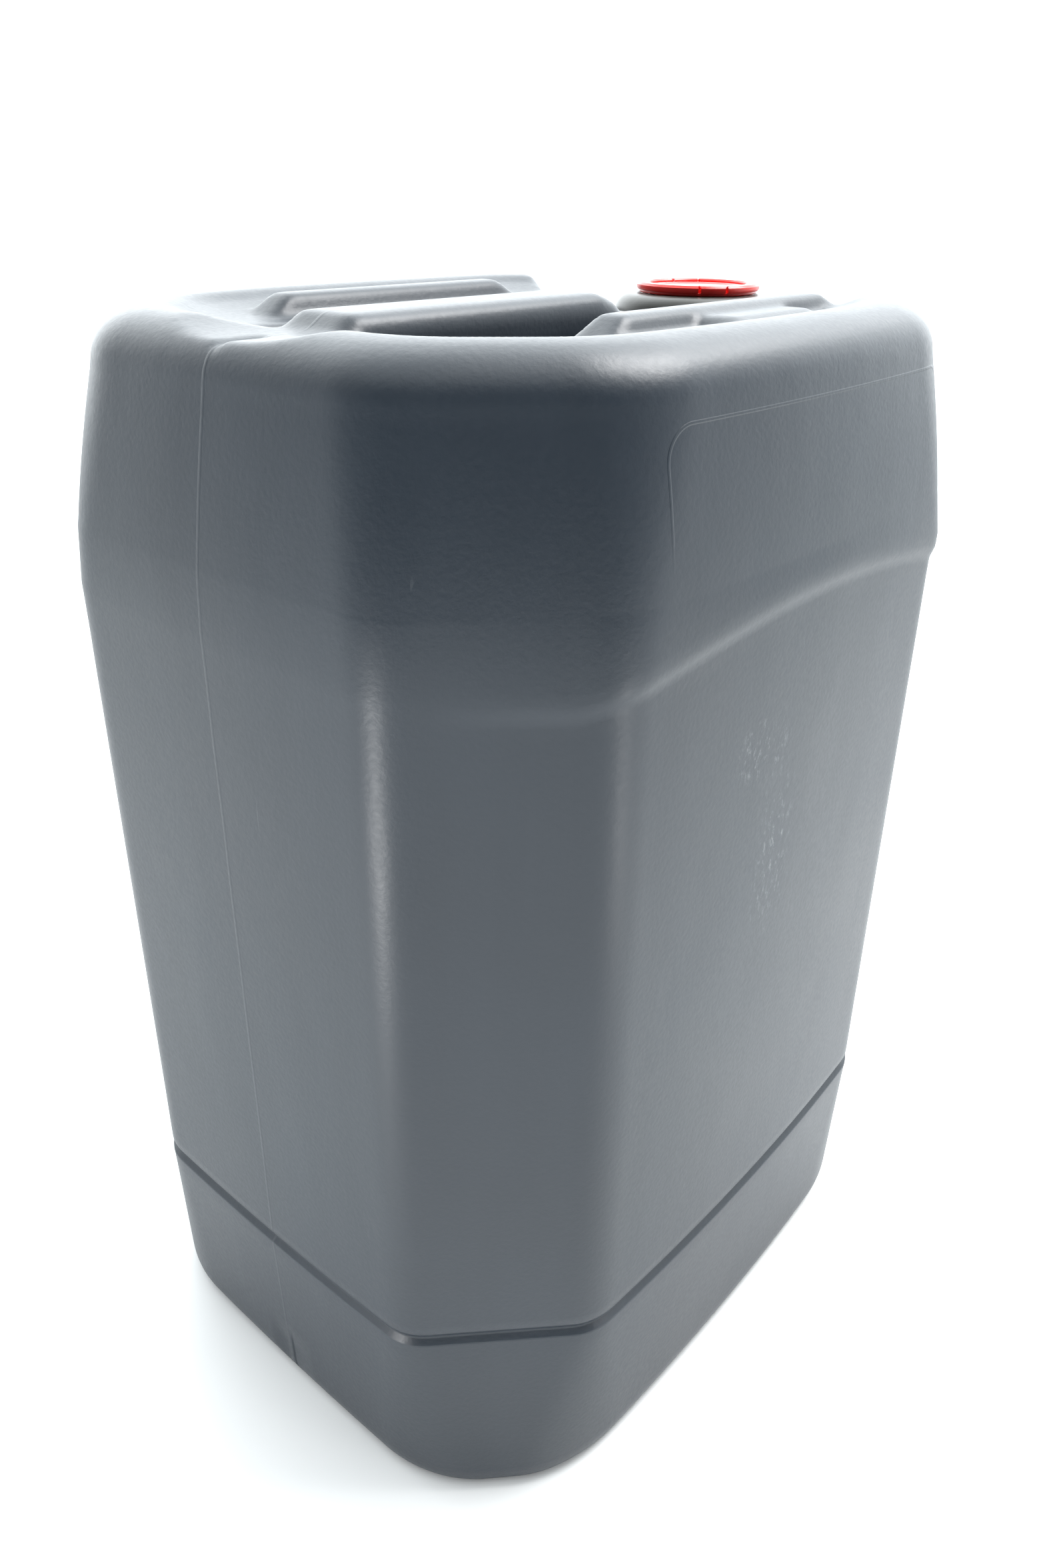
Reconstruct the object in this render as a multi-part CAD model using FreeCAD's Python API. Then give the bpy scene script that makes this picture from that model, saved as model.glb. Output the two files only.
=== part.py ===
"""Stackable 20 litre canister with a screw cap and a pull-out pouring spout.

Frame: millimetres, origin at the middle of the footprint on the floor, +Z up, +X towards the neck.
The plane y = 0 is the mould's parting plane and holds the handle and the neck.
"""
import FreeCAD, Part
import math
import os
from FreeCAD import Vector

UP = Vector(0, 0, 1)

# Canister, overall
LENGTH = 292.0
WIDTH = 240.0
RIM_Z = 403.0
STACK_Z = 404.5
WALL = 2.2
TOP_EXTRA = 0.5

# Plan shape: a rectangle with cut corners and bowed long sides
CORNER_LEG = 50.0
LEG_PER_INSET = 2 - math.sqrt(2)
SIDE_BOW = 3.5
END_BOW = 1.5
EDGE_RADIUS = 20.0
TOP_EDGE_RADIUS = 40.0
TOP_CORNER_OUT = 3.0
END_TAPER = 4.2

# Base band, groove and side panels
BASE_INSET = 7.5
BASE_ROUND = 11.0
BASE_STEPS = 5
BASE_FIRST_STEP = 0.35
BASE_EDGE_RADIUS = 56.0
BASE_CORNER_OUT = -8.0
CHANNEL_X0, CHANNEL_X1 = -11.0, 9.5
CHANNEL_DEPTH = 2.5
BAND_DRAFT = 2.0
GROOVE_Z = 80.5
GROOVE_HALF = 1.3
GROOVE_DEPTH = 1.5
PANEL_INSET = 0.3
PANEL_TOP_INSET = 1.8
CREASE_Z = 315.0
CREASE_RISE = 4.0
UPPER_INSET = 0.5
TAPER = 7.3
TAPER_POWER = 1.4

# Shoulder, deck and recesses
SHOULDER_IN = 18.0
SHOULDER_DOWN = 15.0
SHOULDER_TURN = 86.0
SHOULDER_STEPS = 9
DECK_Z = 396.5
DECK_TOP_INSET = 30.0
DECK_FLOOR_INSET = 60.0
DECK_EDGE_RADIUS = 32.0
LOW_DECK_Z = 370.0
POCKET_X = 52.0
POCKET_HALF = 28.0
LIP_Z = 397.5
PIT_FLOOR_Z = 352.0
PIT_X0, PIT_X1 = -90.0, 26.0
PIT_HALF = 42.0
SCOOP_RADIUS = 130.0
SCOOP_Z = 399.0

# Handle
HANDLE_TOP = 404.0
GRIP_UNDER = 384.0
HANDLE_WIDTH = 30.0
HANDLE_X0, HANDLE_X1 = -98.0, 34.0
GAP_X0, GAP_X1 = -74.0, 9.0

# Stacking rails
RAIL_Y = 60.5
NEAR_RAIL_X0, NEAR_RAIL_X1 = -37.0, 80.0
FAR_RAIL_X0, FAR_RAIL_X1 = -59.0, 44.0
RAIL_TOP_WIDTH = 11.0
RAIL_BASE_WIDTH = 21.0
RAIL_TOP = 404.0
PAD_FROM_END = 36.0
PAD_LENGTH = 48.0
PAD_Y = 74.0
PAD_WIDTH = 14.0
PAD_TOP = 402.0

# Neck and screw cap
NECK_X = 100.0
BORE_R = 24.0
NECK_R = 27.5
NECK_TOP = 395.5
THREAD_R = 28.8
THREAD_PITCH = 5.0
CAP_R = 34.0
CAP_INNER_R = 29.9
CAP_BOTTOM = 378.0
CAP_TOP = 399.6
CAP_PLATE = 2.2
CAP_RIBS = 60
BAND_BOTTOM = 371.4
BAND_TOP = 377.3
HOLE_R = 22.6
GASKET = 0.9
THREAD_GAP = 0.4
FLANGE_INNER_R = 20.4

# Pouring spout and its red cap
SPOUT_CAP_R = 24.0
SPOUT_CAP_TOP = 403.4
SPOUT_RIM = 2.6
BAIL_WIDTH = 4.6
HINGE_TAB_HALF = 4.8
NOZZLE_R = 14.0
NOZZLE_BORE = 11.8
FOLD_Z = 378.0
LINER = 0.5
SKIRT_BOTTOM = 386.0
DISC_RISE = 1.5
BAIL_GAP = 0.3
BARREL_R = 0.7
TAB_TURN = -42.0


def corner_outline(inset, end_in, extra_leg):
    """Corner points and mid-side points of the plan shape, drawn in by inset, the ends by end_in more."""
    a = LENGTH / 2 - inset - end_in
    b = WIDTH / 2 - inset
    leg = CORNER_LEG + extra_leg - LEG_PER_INSET * inset
    side_y = b - SIDE_BOW
    end_x = a - END_BOW
    end_y = b - leg
    side_x = a - leg
    return a, b, side_x, side_y, end_x, end_y


def plan_wire(z, inset, radius=EDGE_RADIUS, end_in=0.0, extra_leg=0.0):
    """Closed outline of the canister at height z, with rounded corners."""
    a, b, sx, sy, ex, ey = corner_outline(inset, end_in, extra_leg)

    def arc(p, q, r):
        return Part.Arc(Vector(*p, z), Vector(*q, z), Vector(*r, z)).toShape()

    def line(p, q):
        return Part.LineSegment(Vector(*p, z), Vector(*q, z)).toShape()

    edges = [arc((-sx, -sy), (0, -b), (sx, -sy)), line((sx, -sy), (ex, -ey)),
             arc((ex, -ey), (a, 0), (ex, ey)), line((ex, ey), (sx, sy)),
             arc((sx, sy), (0, b), (-sx, sy)), line((-sx, sy), (-ex, ey)),
             arc((-ex, ey), (-a, 0), (-ex, -ey)), line((-ex, -ey), (-sx, -sy))]
    slab = Part.Face(Part.Wire(edges)).extrude(UP)
    upright = [e for e in slab.Edges if abs(e.Vertexes[0].Z - e.Vertexes[-1].Z) > 0.5]
    rounded = slab.makeFillet(radius, upright)
    floor = min(rounded.Faces, key=lambda f: f.CenterOfMass.z)
    return floor.OuterWire


def upper_levels(offset):
    """Outlines of the upper band and the rounded shoulder, drawn in by offset."""
    start = CREASE_Z + CREASE_RISE
    turn = RIM_Z - SHOULDER_DOWN
    levels = []
    for step in range(6):
        part = step / 5
        inset = UPPER_INSET + TAPER * part ** TAPER_POWER
        radius = EDGE_RADIUS + (TOP_EDGE_RADIUS - EDGE_RADIUS) * part
        levels.append((start + (turn - start) * part, inset + offset, radius, END_TAPER * part,
                       TOP_CORNER_OUT * part ** 2))
    for step in range(1, SHOULDER_STEPS):
        turned = math.radians(SHOULDER_TURN * step / (SHOULDER_STEPS - 1))
        inset = UPPER_INSET + TAPER + SHOULDER_IN * (1 - math.cos(turned))
        z = RIM_Z - offset - SHOULDER_DOWN * (1 - math.sin(turned))
        levels.append((z, inset + offset, TOP_EDGE_RADIUS, END_TAPER, TOP_CORNER_OUT))
    return levels


def base_levels(offset):
    """Outlines of the rounded bottom edge, from the floor up, drawn in by offset."""
    levels = []
    for step in range(BASE_STEPS):
        turned = math.radians(90.0 * (step + BASE_FIRST_STEP) / (BASE_STEPS - 1 + BASE_FIRST_STEP))
        inset = BAND_DRAFT + (BASE_INSET - BAND_DRAFT) * (1 - math.sin(turned))
        z = offset + BASE_ROUND * (1 - math.cos(turned)) if step else offset
        levels.append((z, inset + offset, BASE_EDGE_RADIUS, 0.0, BASE_CORNER_OUT))
    return levels


def tall_solid(offset=0.0):
    """The canister as if its top were flat, drawn in by offset on every side."""
    panel = PANEL_INSET + offset
    depth = GROOVE_DEPTH + offset
    levels = base_levels(offset)
    levels += [(z, inset, EDGE_RADIUS, 0.0) for z, inset in (
        (GROOVE_Z - GROOVE_HALF, offset), (GROOVE_Z - 0.5, depth), (GROOVE_Z + 0.5, depth),
        (GROOVE_Z + GROOVE_HALF, panel), (CREASE_Z, PANEL_TOP_INSET + offset))]
    levels += upper_levels(offset)
    return Part.makeLoft([plan_wire(*level) for level in levels], True, True)


def base_channel(offset):
    """Shallow channel across the bottom, under the middle of the canister."""
    size = Vector(CHANNEL_X1 - CHANNEL_X0 + 2 * offset, WIDTH, CHANNEL_DEPTH + offset)
    return Part.makeBox(size.x, size.y, size.z, Vector(CHANNEL_X0 - offset, -WIDTH / 2, 0))


def rounded_prism(points, low, high, grow_low, grow_high, radius):
    """Prism over a polygon between two heights, its walls leaning out, its upright edges rounded."""
    wires = []
    for z, grow in ((low, grow_low), (high, grow_high)):
        ring = Part.Wire(Part.makePolygon([Vector(x, y, z) for x, y in points + points[:1]]).Edges)
        grown = ring.makeOffset2D(grow, 2) if abs(grow) > 1e-6 else ring
        slab = Part.Face(grown).extrude(UP)
        upright = [e for e in slab.Edges if abs(e.Vertexes[0].Z - e.Vertexes[-1].Z) > 0.5]
        solid = slab.makeFillet(radius + grow, upright)
        wires.append(min(solid.Faces, key=lambda f: f.CenterOfMass.z).OuterWire)
    return Part.makeLoft(wires, True, True)


def box_points(x0, x1, half):
    """Corners of a rectangle that is centred on y = 0."""
    return [(x0, -half), (x1, -half), (x1, half), (x0, half)]


def dish(offset):
    """The space above the sunken deck."""
    levels = [(RIM_Z + 4, DECK_TOP_INSET - 6 - offset, DECK_EDGE_RADIUS),
              (RIM_Z, DECK_TOP_INSET - offset, DECK_EDGE_RADIUS),
              (DECK_Z + 1.6 - offset, DECK_FLOOR_INSET - 12 - offset, DECK_EDGE_RADIUS - 6),
              (DECK_Z - offset, DECK_FLOOR_INSET - offset, DECK_EDGE_RADIUS - 10)]
    return Part.makeLoft([plan_wire(*level, END_TAPER, TOP_CORNER_OUT) for level in levels[::-1]], True, True)


def pocket_points():
    """Plan of the space round the neck, open at the +X end."""
    far = LENGTH / 2 + 40
    flare = far - POCKET_X
    return [(POCKET_X, -POCKET_HALF), (far, -POCKET_HALF - flare), (far, POCKET_HALF + flare),
            (POCKET_X, POCKET_HALF)]


def pocket(offset):
    """The space round the neck."""
    return rounded_prism(pocket_points(), LOW_DECK_Z - offset, STACK_Z + 6, offset, offset + 9.0, 14.0)


def pocket_lip(offset):
    """The bevel along the upper edge of the space round the neck."""
    return rounded_prism(pocket_points(), LIP_Z - offset, STACK_Z + 6, offset + 5.0, offset + 17.0, 14.0)


def pit(offset):
    """The finger space under the handle."""
    points = box_points(PIT_X0, PIT_X1, PIT_HALF)
    return rounded_prism(points, PIT_FLOOR_Z - offset, STACK_Z + 6, offset - 9.0, offset + 3.0, 14.0)


def scoop(offset):
    """The shallow valley that runs from the finger space over the -X end of the shoulder."""
    start = Vector(-LENGTH / 2 - 5, 0, SCOOP_Z + SCOOP_RADIUS)
    return Part.makeCylinder(SCOOP_RADIUS + offset, LENGTH / 2 - 60, start, Vector(1, 0, 0))


def top_spaces(offset):
    """Everything that is hollowed out of the canister's top."""
    return [dish(offset), pocket(offset), pocket_lip(offset), pit(offset), scoop(offset)]


def handle_profile(offset):
    """Side view of the handle as a face on y = 0, drawn in by offset."""
    x0, x1 = HANDLE_X0, HANDLE_X1
    foot = PIT_FLOOR_Z - 6.0
    points = [(x0 - 12, foot), (x0 - 2, SCOOP_Z - 6), (x0 + 1, HANDLE_TOP - 4), (x0 + 7, HANDLE_TOP),
              (x1 - 13, HANDLE_TOP), (x1 - 4, HANDLE_TOP - 3), (x1 + 1, HANDLE_TOP - 9), (x1 + 17, foot),
              (GAP_X1 + 10, foot), (GAP_X1 + 2, GRIP_UNDER - 12), (GAP_X1 - 8, GRIP_UNDER),
              (GAP_X0 + 8, GRIP_UNDER), (GAP_X0, GRIP_UNDER - 8), (GAP_X0 - 4, foot)]
    ring = Part.Wire(Part.makePolygon([Vector(x, 0, z) for x, z in points + points[:1]]).Edges)
    if offset > 0:
        ring = ring.makeOffset2D(-offset, 2)
    return Part.Face(ring)


def handle(offset=0.0):
    """The carrying handle: an arch with its long edges cut back."""
    width = HANDLE_WIDTH - 2 * offset
    step = 3.0
    solid = None
    for half, inward in ((width / 2, offset + 2 * step), (width / 2 - 1.2, offset + step),
                         (width / 2 - 4.5, offset + 0.8), (width / 2 - 8.0, offset)):
        slab = handle_profile(inward).extrude(Vector(0, 2 * half, 0))
        slab.translate(Vector(0, -half, 0))
        solid = slab if solid is None else solid.fuse(slab)
    return solid


def ridge(x0, x1, y, top, top_width, base_width, slope):
    """A long pad with four sloping sides that stands on the deck."""
    foot = DECK_Z - 5.0
    rise = slope * (top - foot) / (top - DECK_Z)

    def ring(z, half, reach):
        corners = [(x0 - reach, y - half), (x1 + reach, y - half), (x1 + reach, y + half), (x0 - reach, y + half)]
        return Part.makePolygon([Vector(px, py, z) for px, py in corners + corners[:1]])

    return Part.makeLoft([ring(foot, base_width / 2, rise), ring(top - 1.2, top_width / 2 + 0.8, 1.8),
                          ring(top, top_width / 2 - 1.0, 0.0)], True, True)


def rails():
    """Two stacking rails and the lower pad on the outer flank of each."""
    pieces = []
    for side, x0, x1 in ((-1, NEAR_RAIL_X0, NEAR_RAIL_X1), (1, FAR_RAIL_X0, FAR_RAIL_X1)):
        rail = ridge(x0, x1, side * RAIL_Y, RAIL_TOP, RAIL_TOP_WIDTH, RAIL_BASE_WIDTH, 12.0)
        pad_x0 = x0 + PAD_FROM_END
        pad = ridge(pad_x0, pad_x0 + PAD_LENGTH, side * PAD_Y, PAD_TOP, PAD_WIDTH, PAD_WIDTH + 12, 10.0)
        pieces += [rail.cut(pocket(0.0)), pad.cut(pocket(0.0))]
    return pieces


def ring_solid(profile):
    """Solid of revolution round the neck's axis from (radius, z) points."""
    points = [Vector(NECK_X + r, 0, z) for r, z in profile]
    face = Part.Face(Part.makePolygon(points + points[:1]))
    return face.revolve(Vector(NECK_X, 0, 0), UP, 360)


def neck():
    """Neck tube with its thread ridges and the bead that holds the tamper band."""
    pieces = [ring_solid([(BORE_R, LOW_DECK_Z - 8), (NECK_R, LOW_DECK_Z - 8), (NECK_R, NECK_TOP - 0.6),
                          (NECK_R - 0.6, NECK_TOP), (BORE_R + 0.4, NECK_TOP), (BORE_R, NECK_TOP - 0.4)]),
              ring_solid([(NECK_R - 1, LOW_DECK_Z - 4), (NECK_R + 3, LOW_DECK_Z - 4), (NECK_R, LOW_DECK_Z + 1.2),
                          (NECK_R - 1, LOW_DECK_Z + 1.2)])]
    bead = BAND_TOP + 0.5
    pieces.append(ring_solid([(NECK_R - 1, bead), (THREAD_R, bead), (THREAD_R, bead + 0.5),
                              (NECK_R - 1, bead + 1.6)]))
    for turn in range(3):
        z = bead + 4.0 + turn * THREAD_PITCH
        pieces.append(ring_solid([(NECK_R - 1, z - 1.4), (NECK_R, z - 1.4), (THREAD_R, z - 0.5),
                                  (THREAD_R, z + 0.5), (NECK_R, z + 1.4), (NECK_R - 1, z + 1.4)]))
    return pieces


def canister_body():
    """The blow-moulded shell: outer shape less the inside, with the neck's bore open."""
    outer = tall_solid()
    for space in top_spaces(0.0) + [base_channel(0.0)]:
        outer = outer.cut(space)
    outer = outer.fuse([handle()] + rails() + neck())
    inner = tall_solid(WALL)
    for space in top_spaces(WALL + TOP_EXTRA) + [base_channel(WALL)]:
        inner = inner.cut(space)
    core = handle(WALL + TOP_EXTRA)
    below = Part.makeBox(LENGTH, WIDTH, PIT_FLOOR_Z, Vector(-LENGTH / 2, -WIDTH / 2, -WALL))
    core = core.cut(below)
    bore = Part.makeCylinder(BORE_R, 60, Vector(NECK_X, 0, LOW_DECK_Z - 12), UP)
    body = outer.cut(inner).cut(core).cut(bore)
    return body.removeSplitter()


def polar(shape, angle):
    """Copy of a shape turned about the neck's axis by angle degrees."""
    turned = shape.copy()
    turned.rotate(Vector(NECK_X, 0, 0), UP, angle)
    return turned


def screw_cap():
    """Black screw cap: ribbed skirt, rounded shoulder, plate with a hole for the spout."""
    shoulder = CAP_R - 1.4
    profile = [(CAP_INNER_R, CAP_BOTTOM), (CAP_R, CAP_BOTTOM), (CAP_R, CAP_TOP - 9.5), (shoulder, CAP_TOP - 8.5)]
    for step in range(1, 7):
        turned = math.radians(15.0 * step)
        profile.append((shoulder - 7.0 * (1 - math.cos(turned)), CAP_TOP - 7.0 + 7.0 * math.sin(turned)))
    under = CAP_TOP - CAP_PLATE
    profile += [(HOLE_R, CAP_TOP), (HOLE_R, under), (CAP_INNER_R, under)]
    cap = ring_solid(profile)
    for turn in range(2):
        z = CAP_BOTTOM + 4.8 + turn * THREAD_PITCH
        cap = cap.fuse(ring_solid([(CAP_INNER_R + 0.5, z - 1.2), (CAP_INNER_R, z - 1.2), (THREAD_R + THREAD_GAP, z - 0.4),
                                   (THREAD_R + THREAD_GAP, z + 0.4), (CAP_INNER_R, z + 1.2), (CAP_INNER_R + 0.5, z + 1.2)]))
    groove = Part.makeCylinder(0.75, CAP_TOP - CAP_BOTTOM - 9.5, Vector(NECK_X + CAP_R + 0.25, 0, CAP_BOTTOM - 0.2), UP)
    cap = cap.cut([polar(groove, 360.0 * n / CAP_RIBS) for n in range(CAP_RIBS)])
    return cap


def tamper_band():
    """Break-off ring that stays on the neck under its bead."""
    return ring_solid([(NECK_R + 0.05, BAND_BOTTOM + 2.4), (CAP_INNER_R, BAND_BOTTOM), (CAP_R, BAND_BOTTOM),
                       (CAP_R, BAND_TOP), (CAP_INNER_R, BAND_TOP), (NECK_R + 0.05, BAND_TOP - 1.0)])


def neck_gasket():
    """Flat sealing ring on the neck's rim."""
    inner = BORE_R + 0.6
    return ring_solid([(inner, NECK_TOP), (THREAD_R, NECK_TOP),
                       (THREAD_R, NECK_TOP + GASKET), (inner, NECK_TOP + GASKET)])


def spout_flange():
    """Flat flange of the spout, held between the cap's plate and the gasket."""
    low = NECK_TOP + GASKET
    high = CAP_TOP - CAP_PLATE
    return ring_solid([(FLANGE_INNER_R, low), (CAP_INNER_R - 0.5, low), (CAP_INNER_R - 0.5, high),
                       (HOLE_R - 0.3, high), (HOLE_R - 0.3, CAP_TOP - 0.4), (FLANGE_INNER_R, CAP_TOP - 0.4)])


def spout_bellows():
    """Folded wall of the spout, from the flange down and back up to the nozzle."""
    outer = FLANGE_INNER_R
    low = FOLD_Z
    return ring_solid([(outer, CAP_TOP - 1.0), (outer, low + 1.4), (outer - 1.4, low), (NOZZLE_R, low),
                       (NOZZLE_R, low + 1.2), (outer - 1.8, low + 1.2), (outer - 1.2, low + 1.8),
                       (outer - 1.2, CAP_TOP - 1.0)])


def spout_nozzle():
    """Pouring nozzle with the thread that the red cap screws on to."""
    top = SPOUT_CAP_TOP - SPOUT_RIM - 1.6
    nozzle = ring_solid([(NOZZLE_BORE, FOLD_Z), (NOZZLE_R, FOLD_Z), (NOZZLE_R, top), (NOZZLE_BORE, top)])
    for turn in range(2):
        z = top - 3.6 - turn * 3.4
        nozzle = nozzle.fuse(ring_solid([(NOZZLE_R - 0.5, z - 1.0), (NOZZLE_R, z - 1.0), (NOZZLE_R + 0.8, z),
                                         (NOZZLE_R, z + 1.0), (NOZZLE_R - 0.5, z + 1.0)]))
    return nozzle


def spout_cap_liner():
    """Sealing disc between the nozzle's end and the red cap."""
    top = SPOUT_CAP_TOP - SPOUT_RIM - 1.6
    return Part.makeCylinder(NOZZLE_R, LINER, Vector(NECK_X, 0, top), UP)


def hinge_tabs(reach):
    """Two blocks across the rim that carry the bails, as long as reach."""
    low = SPOUT_CAP_TOP - SPOUT_RIM
    block = Part.makeBox(2 * HINGE_TAB_HALF, 2 * reach, SPOUT_RIM + 4, Vector(-HINGE_TAB_HALF, -reach, low - 2))
    block.rotate(Vector(0, 0, 0), UP, TAB_TURN)
    block.translate(Vector(NECK_X, 0, 0))
    return block


def rim_ring():
    """The raised rim of the red cap, before it is divided into bails and tabs."""
    low = SPOUT_CAP_TOP - SPOUT_RIM
    inner = SPOUT_CAP_R - BAIL_WIDTH
    return ring_solid([(inner + 0.5, low), (SPOUT_CAP_R - 0.5, low), (SPOUT_CAP_R, low + 0.6),
                       (SPOUT_CAP_R, SPOUT_CAP_TOP - 0.6), (SPOUT_CAP_R - 0.6, SPOUT_CAP_TOP),
                       (inner + 0.4, SPOUT_CAP_TOP), (inner, SPOUT_CAP_TOP - 0.5), (inner, low + 0.5)])


def spout_cap():
    """Red cap: disc, skirt with an inner thread, and the two hinge tabs."""
    low = SPOUT_CAP_TOP - SPOUT_RIM
    inner = SPOUT_CAP_R - BAIL_WIDTH
    disc = ring_solid([(0, low), (inner - 0.4, low), (inner - 0.4, low + DISC_RISE), (inner - 1.6, low + DISC_RISE),
                       (inner - 2.4, low + DISC_RISE - 0.5), (0, low + DISC_RISE - 0.5)])
    plate = ring_solid([(0, low), (SPOUT_CAP_R - 1.2, low), (SPOUT_CAP_R - 1.2, low - 1.0), (0, low - 1.0)])
    skirt = ring_solid([(NOZZLE_R + 1.1, low), (NOZZLE_R + 1.9, low), (NOZZLE_R + 1.9, SKIRT_BOTTOM),
                        (NOZZLE_R + 1.1, SKIRT_BOTTOM)])
    tabs = rim_ring().common(hinge_tabs(SPOUT_CAP_R + 2)).fuse(
        ring_solid([(inner - 0.6, low), (inner + 0.6, low), (inner + 0.6, low + DISC_RISE),
                    (inner - 0.6, low + DISC_RISE)]).common(hinge_tabs(SPOUT_CAP_R + 2)))
    return disc.fuse([plate, skirt, tabs]).removeSplitter()


def bail(side):
    """One half-ring pull handle of the red cap, lying flat."""
    reach = 2 * SPOUT_CAP_R
    low = SPOUT_CAP_TOP - SPOUT_RIM
    axis_x = HINGE_TAB_HALF + BAIL_GAP + BARREL_R
    half = Part.makeBox(reach, 2 * reach, 2 * SPOUT_RIM, Vector(axis_x, -reach, low - SPOUT_RIM / 2))
    barrel = Part.makeCylinder(BARREL_R, 2 * reach, Vector(axis_x, -reach, SPOUT_CAP_TOP - BARREL_R), Vector(0, 1, 0))
    for shape in (half, barrel):
        shape.rotate(Vector(0, 0, 0), UP, TAB_TURN + (0 if side > 0 else 180))
        shape.translate(Vector(NECK_X, 0, 0))
    outer = SPOUT_CAP_R - 0.6
    inner = SPOUT_CAP_R - BAIL_WIDTH + 0.4
    span = ring_solid([(inner, low), (outer, low), (outer, SPOUT_CAP_TOP), (inner, SPOUT_CAP_TOP)])
    return rim_ring().common(half).fuse(barrel.common(span)).removeSplitter()


PARTS = {
    "canister_body": canister_body,
    "screw_cap": screw_cap,
    "tamper_band": tamper_band,
    "neck_gasket": neck_gasket,
    "spout_flange": spout_flange,
    "spout_bellows": spout_bellows,
    "spout_nozzle": spout_nozzle,
    "spout_cap_liner": spout_cap_liner,
    "spout_cap": spout_cap,
    "bail_left": lambda: bail(-1),
    "bail_right": lambda: bail(1),
}

os.makedirs("parts", exist_ok=True)
for name, make in PARTS.items():
    shape = make()
    if not shape.isValid() or len(shape.Solids) != 1:
        print("check", name, shape.isValid(), len(shape.Solids))
    print(name, round(shape.Volume / 1000, 1), shape.BoundBox)
    shape.exportStep("parts/" + name + ".step")
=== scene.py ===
"""Looks of a stackable 20 litre canister with a screw cap and a pull-out pouring spout.

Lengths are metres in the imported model's frame: +Z up, +X towards the neck, y = 0 the mould's parting plane.
"""

import logging
import math
from dataclasses import dataclass, field
from enum import Enum
from typing import Any, Callable, Optional, Sequence, Union

import bmesh
import bpy
from mathutils import Matrix, Vector

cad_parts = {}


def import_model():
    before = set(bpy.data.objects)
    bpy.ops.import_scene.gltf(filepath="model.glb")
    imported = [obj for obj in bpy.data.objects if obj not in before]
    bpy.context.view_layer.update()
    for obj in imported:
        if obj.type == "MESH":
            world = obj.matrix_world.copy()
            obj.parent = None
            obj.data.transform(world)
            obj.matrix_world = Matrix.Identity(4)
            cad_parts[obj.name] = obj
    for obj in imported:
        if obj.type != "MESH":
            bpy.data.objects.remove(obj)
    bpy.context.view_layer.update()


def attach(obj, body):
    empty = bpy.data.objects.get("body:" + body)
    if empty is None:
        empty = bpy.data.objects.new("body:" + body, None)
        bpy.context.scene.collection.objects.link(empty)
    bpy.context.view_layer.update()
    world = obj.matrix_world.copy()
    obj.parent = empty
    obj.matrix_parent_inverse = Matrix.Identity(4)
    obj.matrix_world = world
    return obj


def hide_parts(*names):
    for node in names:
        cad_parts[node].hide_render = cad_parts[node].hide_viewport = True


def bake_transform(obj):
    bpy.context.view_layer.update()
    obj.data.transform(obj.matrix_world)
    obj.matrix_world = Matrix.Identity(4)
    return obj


LOG = logging.getLogger("canister")
Number = Union[int, float]
Outline = Callable[[float], float]


# ---------------------------------------------------------------- shader kit

class Operation(Enum):
    """Math node operations that the finishes use."""

    ADD = "ADD"
    SUBTRACT = "SUBTRACT"
    MULTIPLY = "MULTIPLY"
    DIVIDE = "DIVIDE"
    POWER = "POWER"
    ABSOLUTE = "ABSOLUTE"
    MINIMUM = "MINIMUM"
    MAXIMUM = "MAXIMUM"


class Signal:
    """One output socket, with arithmetic that adds Math nodes."""

    def __init__(self, paint: "NodeBench", socket: bpy.types.NodeSocket) -> None:
        """Wrap a socket.

        Args:
            paint: the tree that the socket belongs to.
            socket: the output socket.
        """
        self.paint = paint
        self.socket = socket

    def _math(self, operation: Operation, *values: Any) -> "Signal":
        """Add one Math node and return its output."""
        return self.paint.node("ShaderNodeMath", {"operation": operation.value}, dict(enumerate(values)))

    def __add__(self, other: Any) -> "Signal":
        """Sum."""
        return self._math(Operation.ADD, self, other)

    def __radd__(self, other: Any) -> "Signal":
        """Sum with the signal on the right."""
        return self._math(Operation.ADD, other, self)

    def __sub__(self, other: Any) -> "Signal":
        """Difference."""
        return self._math(Operation.SUBTRACT, self, other)

    def __rsub__(self, other: Any) -> "Signal":
        """Difference with the signal on the right."""
        return self._math(Operation.SUBTRACT, other, self)

    def __mul__(self, other: Any) -> "Signal":
        """Product."""
        return self._math(Operation.MULTIPLY, self, other)

    def __rmul__(self, other: Any) -> "Signal":
        """Product with the signal on the right."""
        return self._math(Operation.MULTIPLY, other, self)

    def __truediv__(self, other: Any) -> "Signal":
        """Quotient."""
        return self._math(Operation.DIVIDE, self, other)

    def __rtruediv__(self, other: Any) -> "Signal":
        """Quotient with the signal on the right."""
        return self._math(Operation.DIVIDE, other, self)

    def __pow__(self, other: Any) -> "Signal":
        """Power."""
        return self._math(Operation.POWER, self, other)

    def __abs__(self) -> "Signal":
        """Size without sign."""
        return self._math(Operation.ABSOLUTE, self)

    def least(self, other: Any) -> "Signal":
        """The lesser of two values."""
        return self._math(Operation.MINIMUM, self, other)

    def most(self, other: Any) -> "Signal":
        """The greater of two values."""
        return self._math(Operation.MAXIMUM, self, other)

    def fade(self, start: Number, end: Number) -> "Signal":
        """Smooth step from 0 at start to 1 at end.

        Args:
            start: value where the step begins.
            end: value where the step is whole; below start for a falling step.

        Returns:
            A signal between 0 and 1.
        """
        low, high = (start, end) if start < end else (end, start)
        step = self.paint.node("ShaderNodeMapRange", {"interpolation_type": "SMOOTHSTEP"},
                               {"Value": self, "From Min": low, "From Max": high})
        return step if start < end else 1 - step


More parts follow.
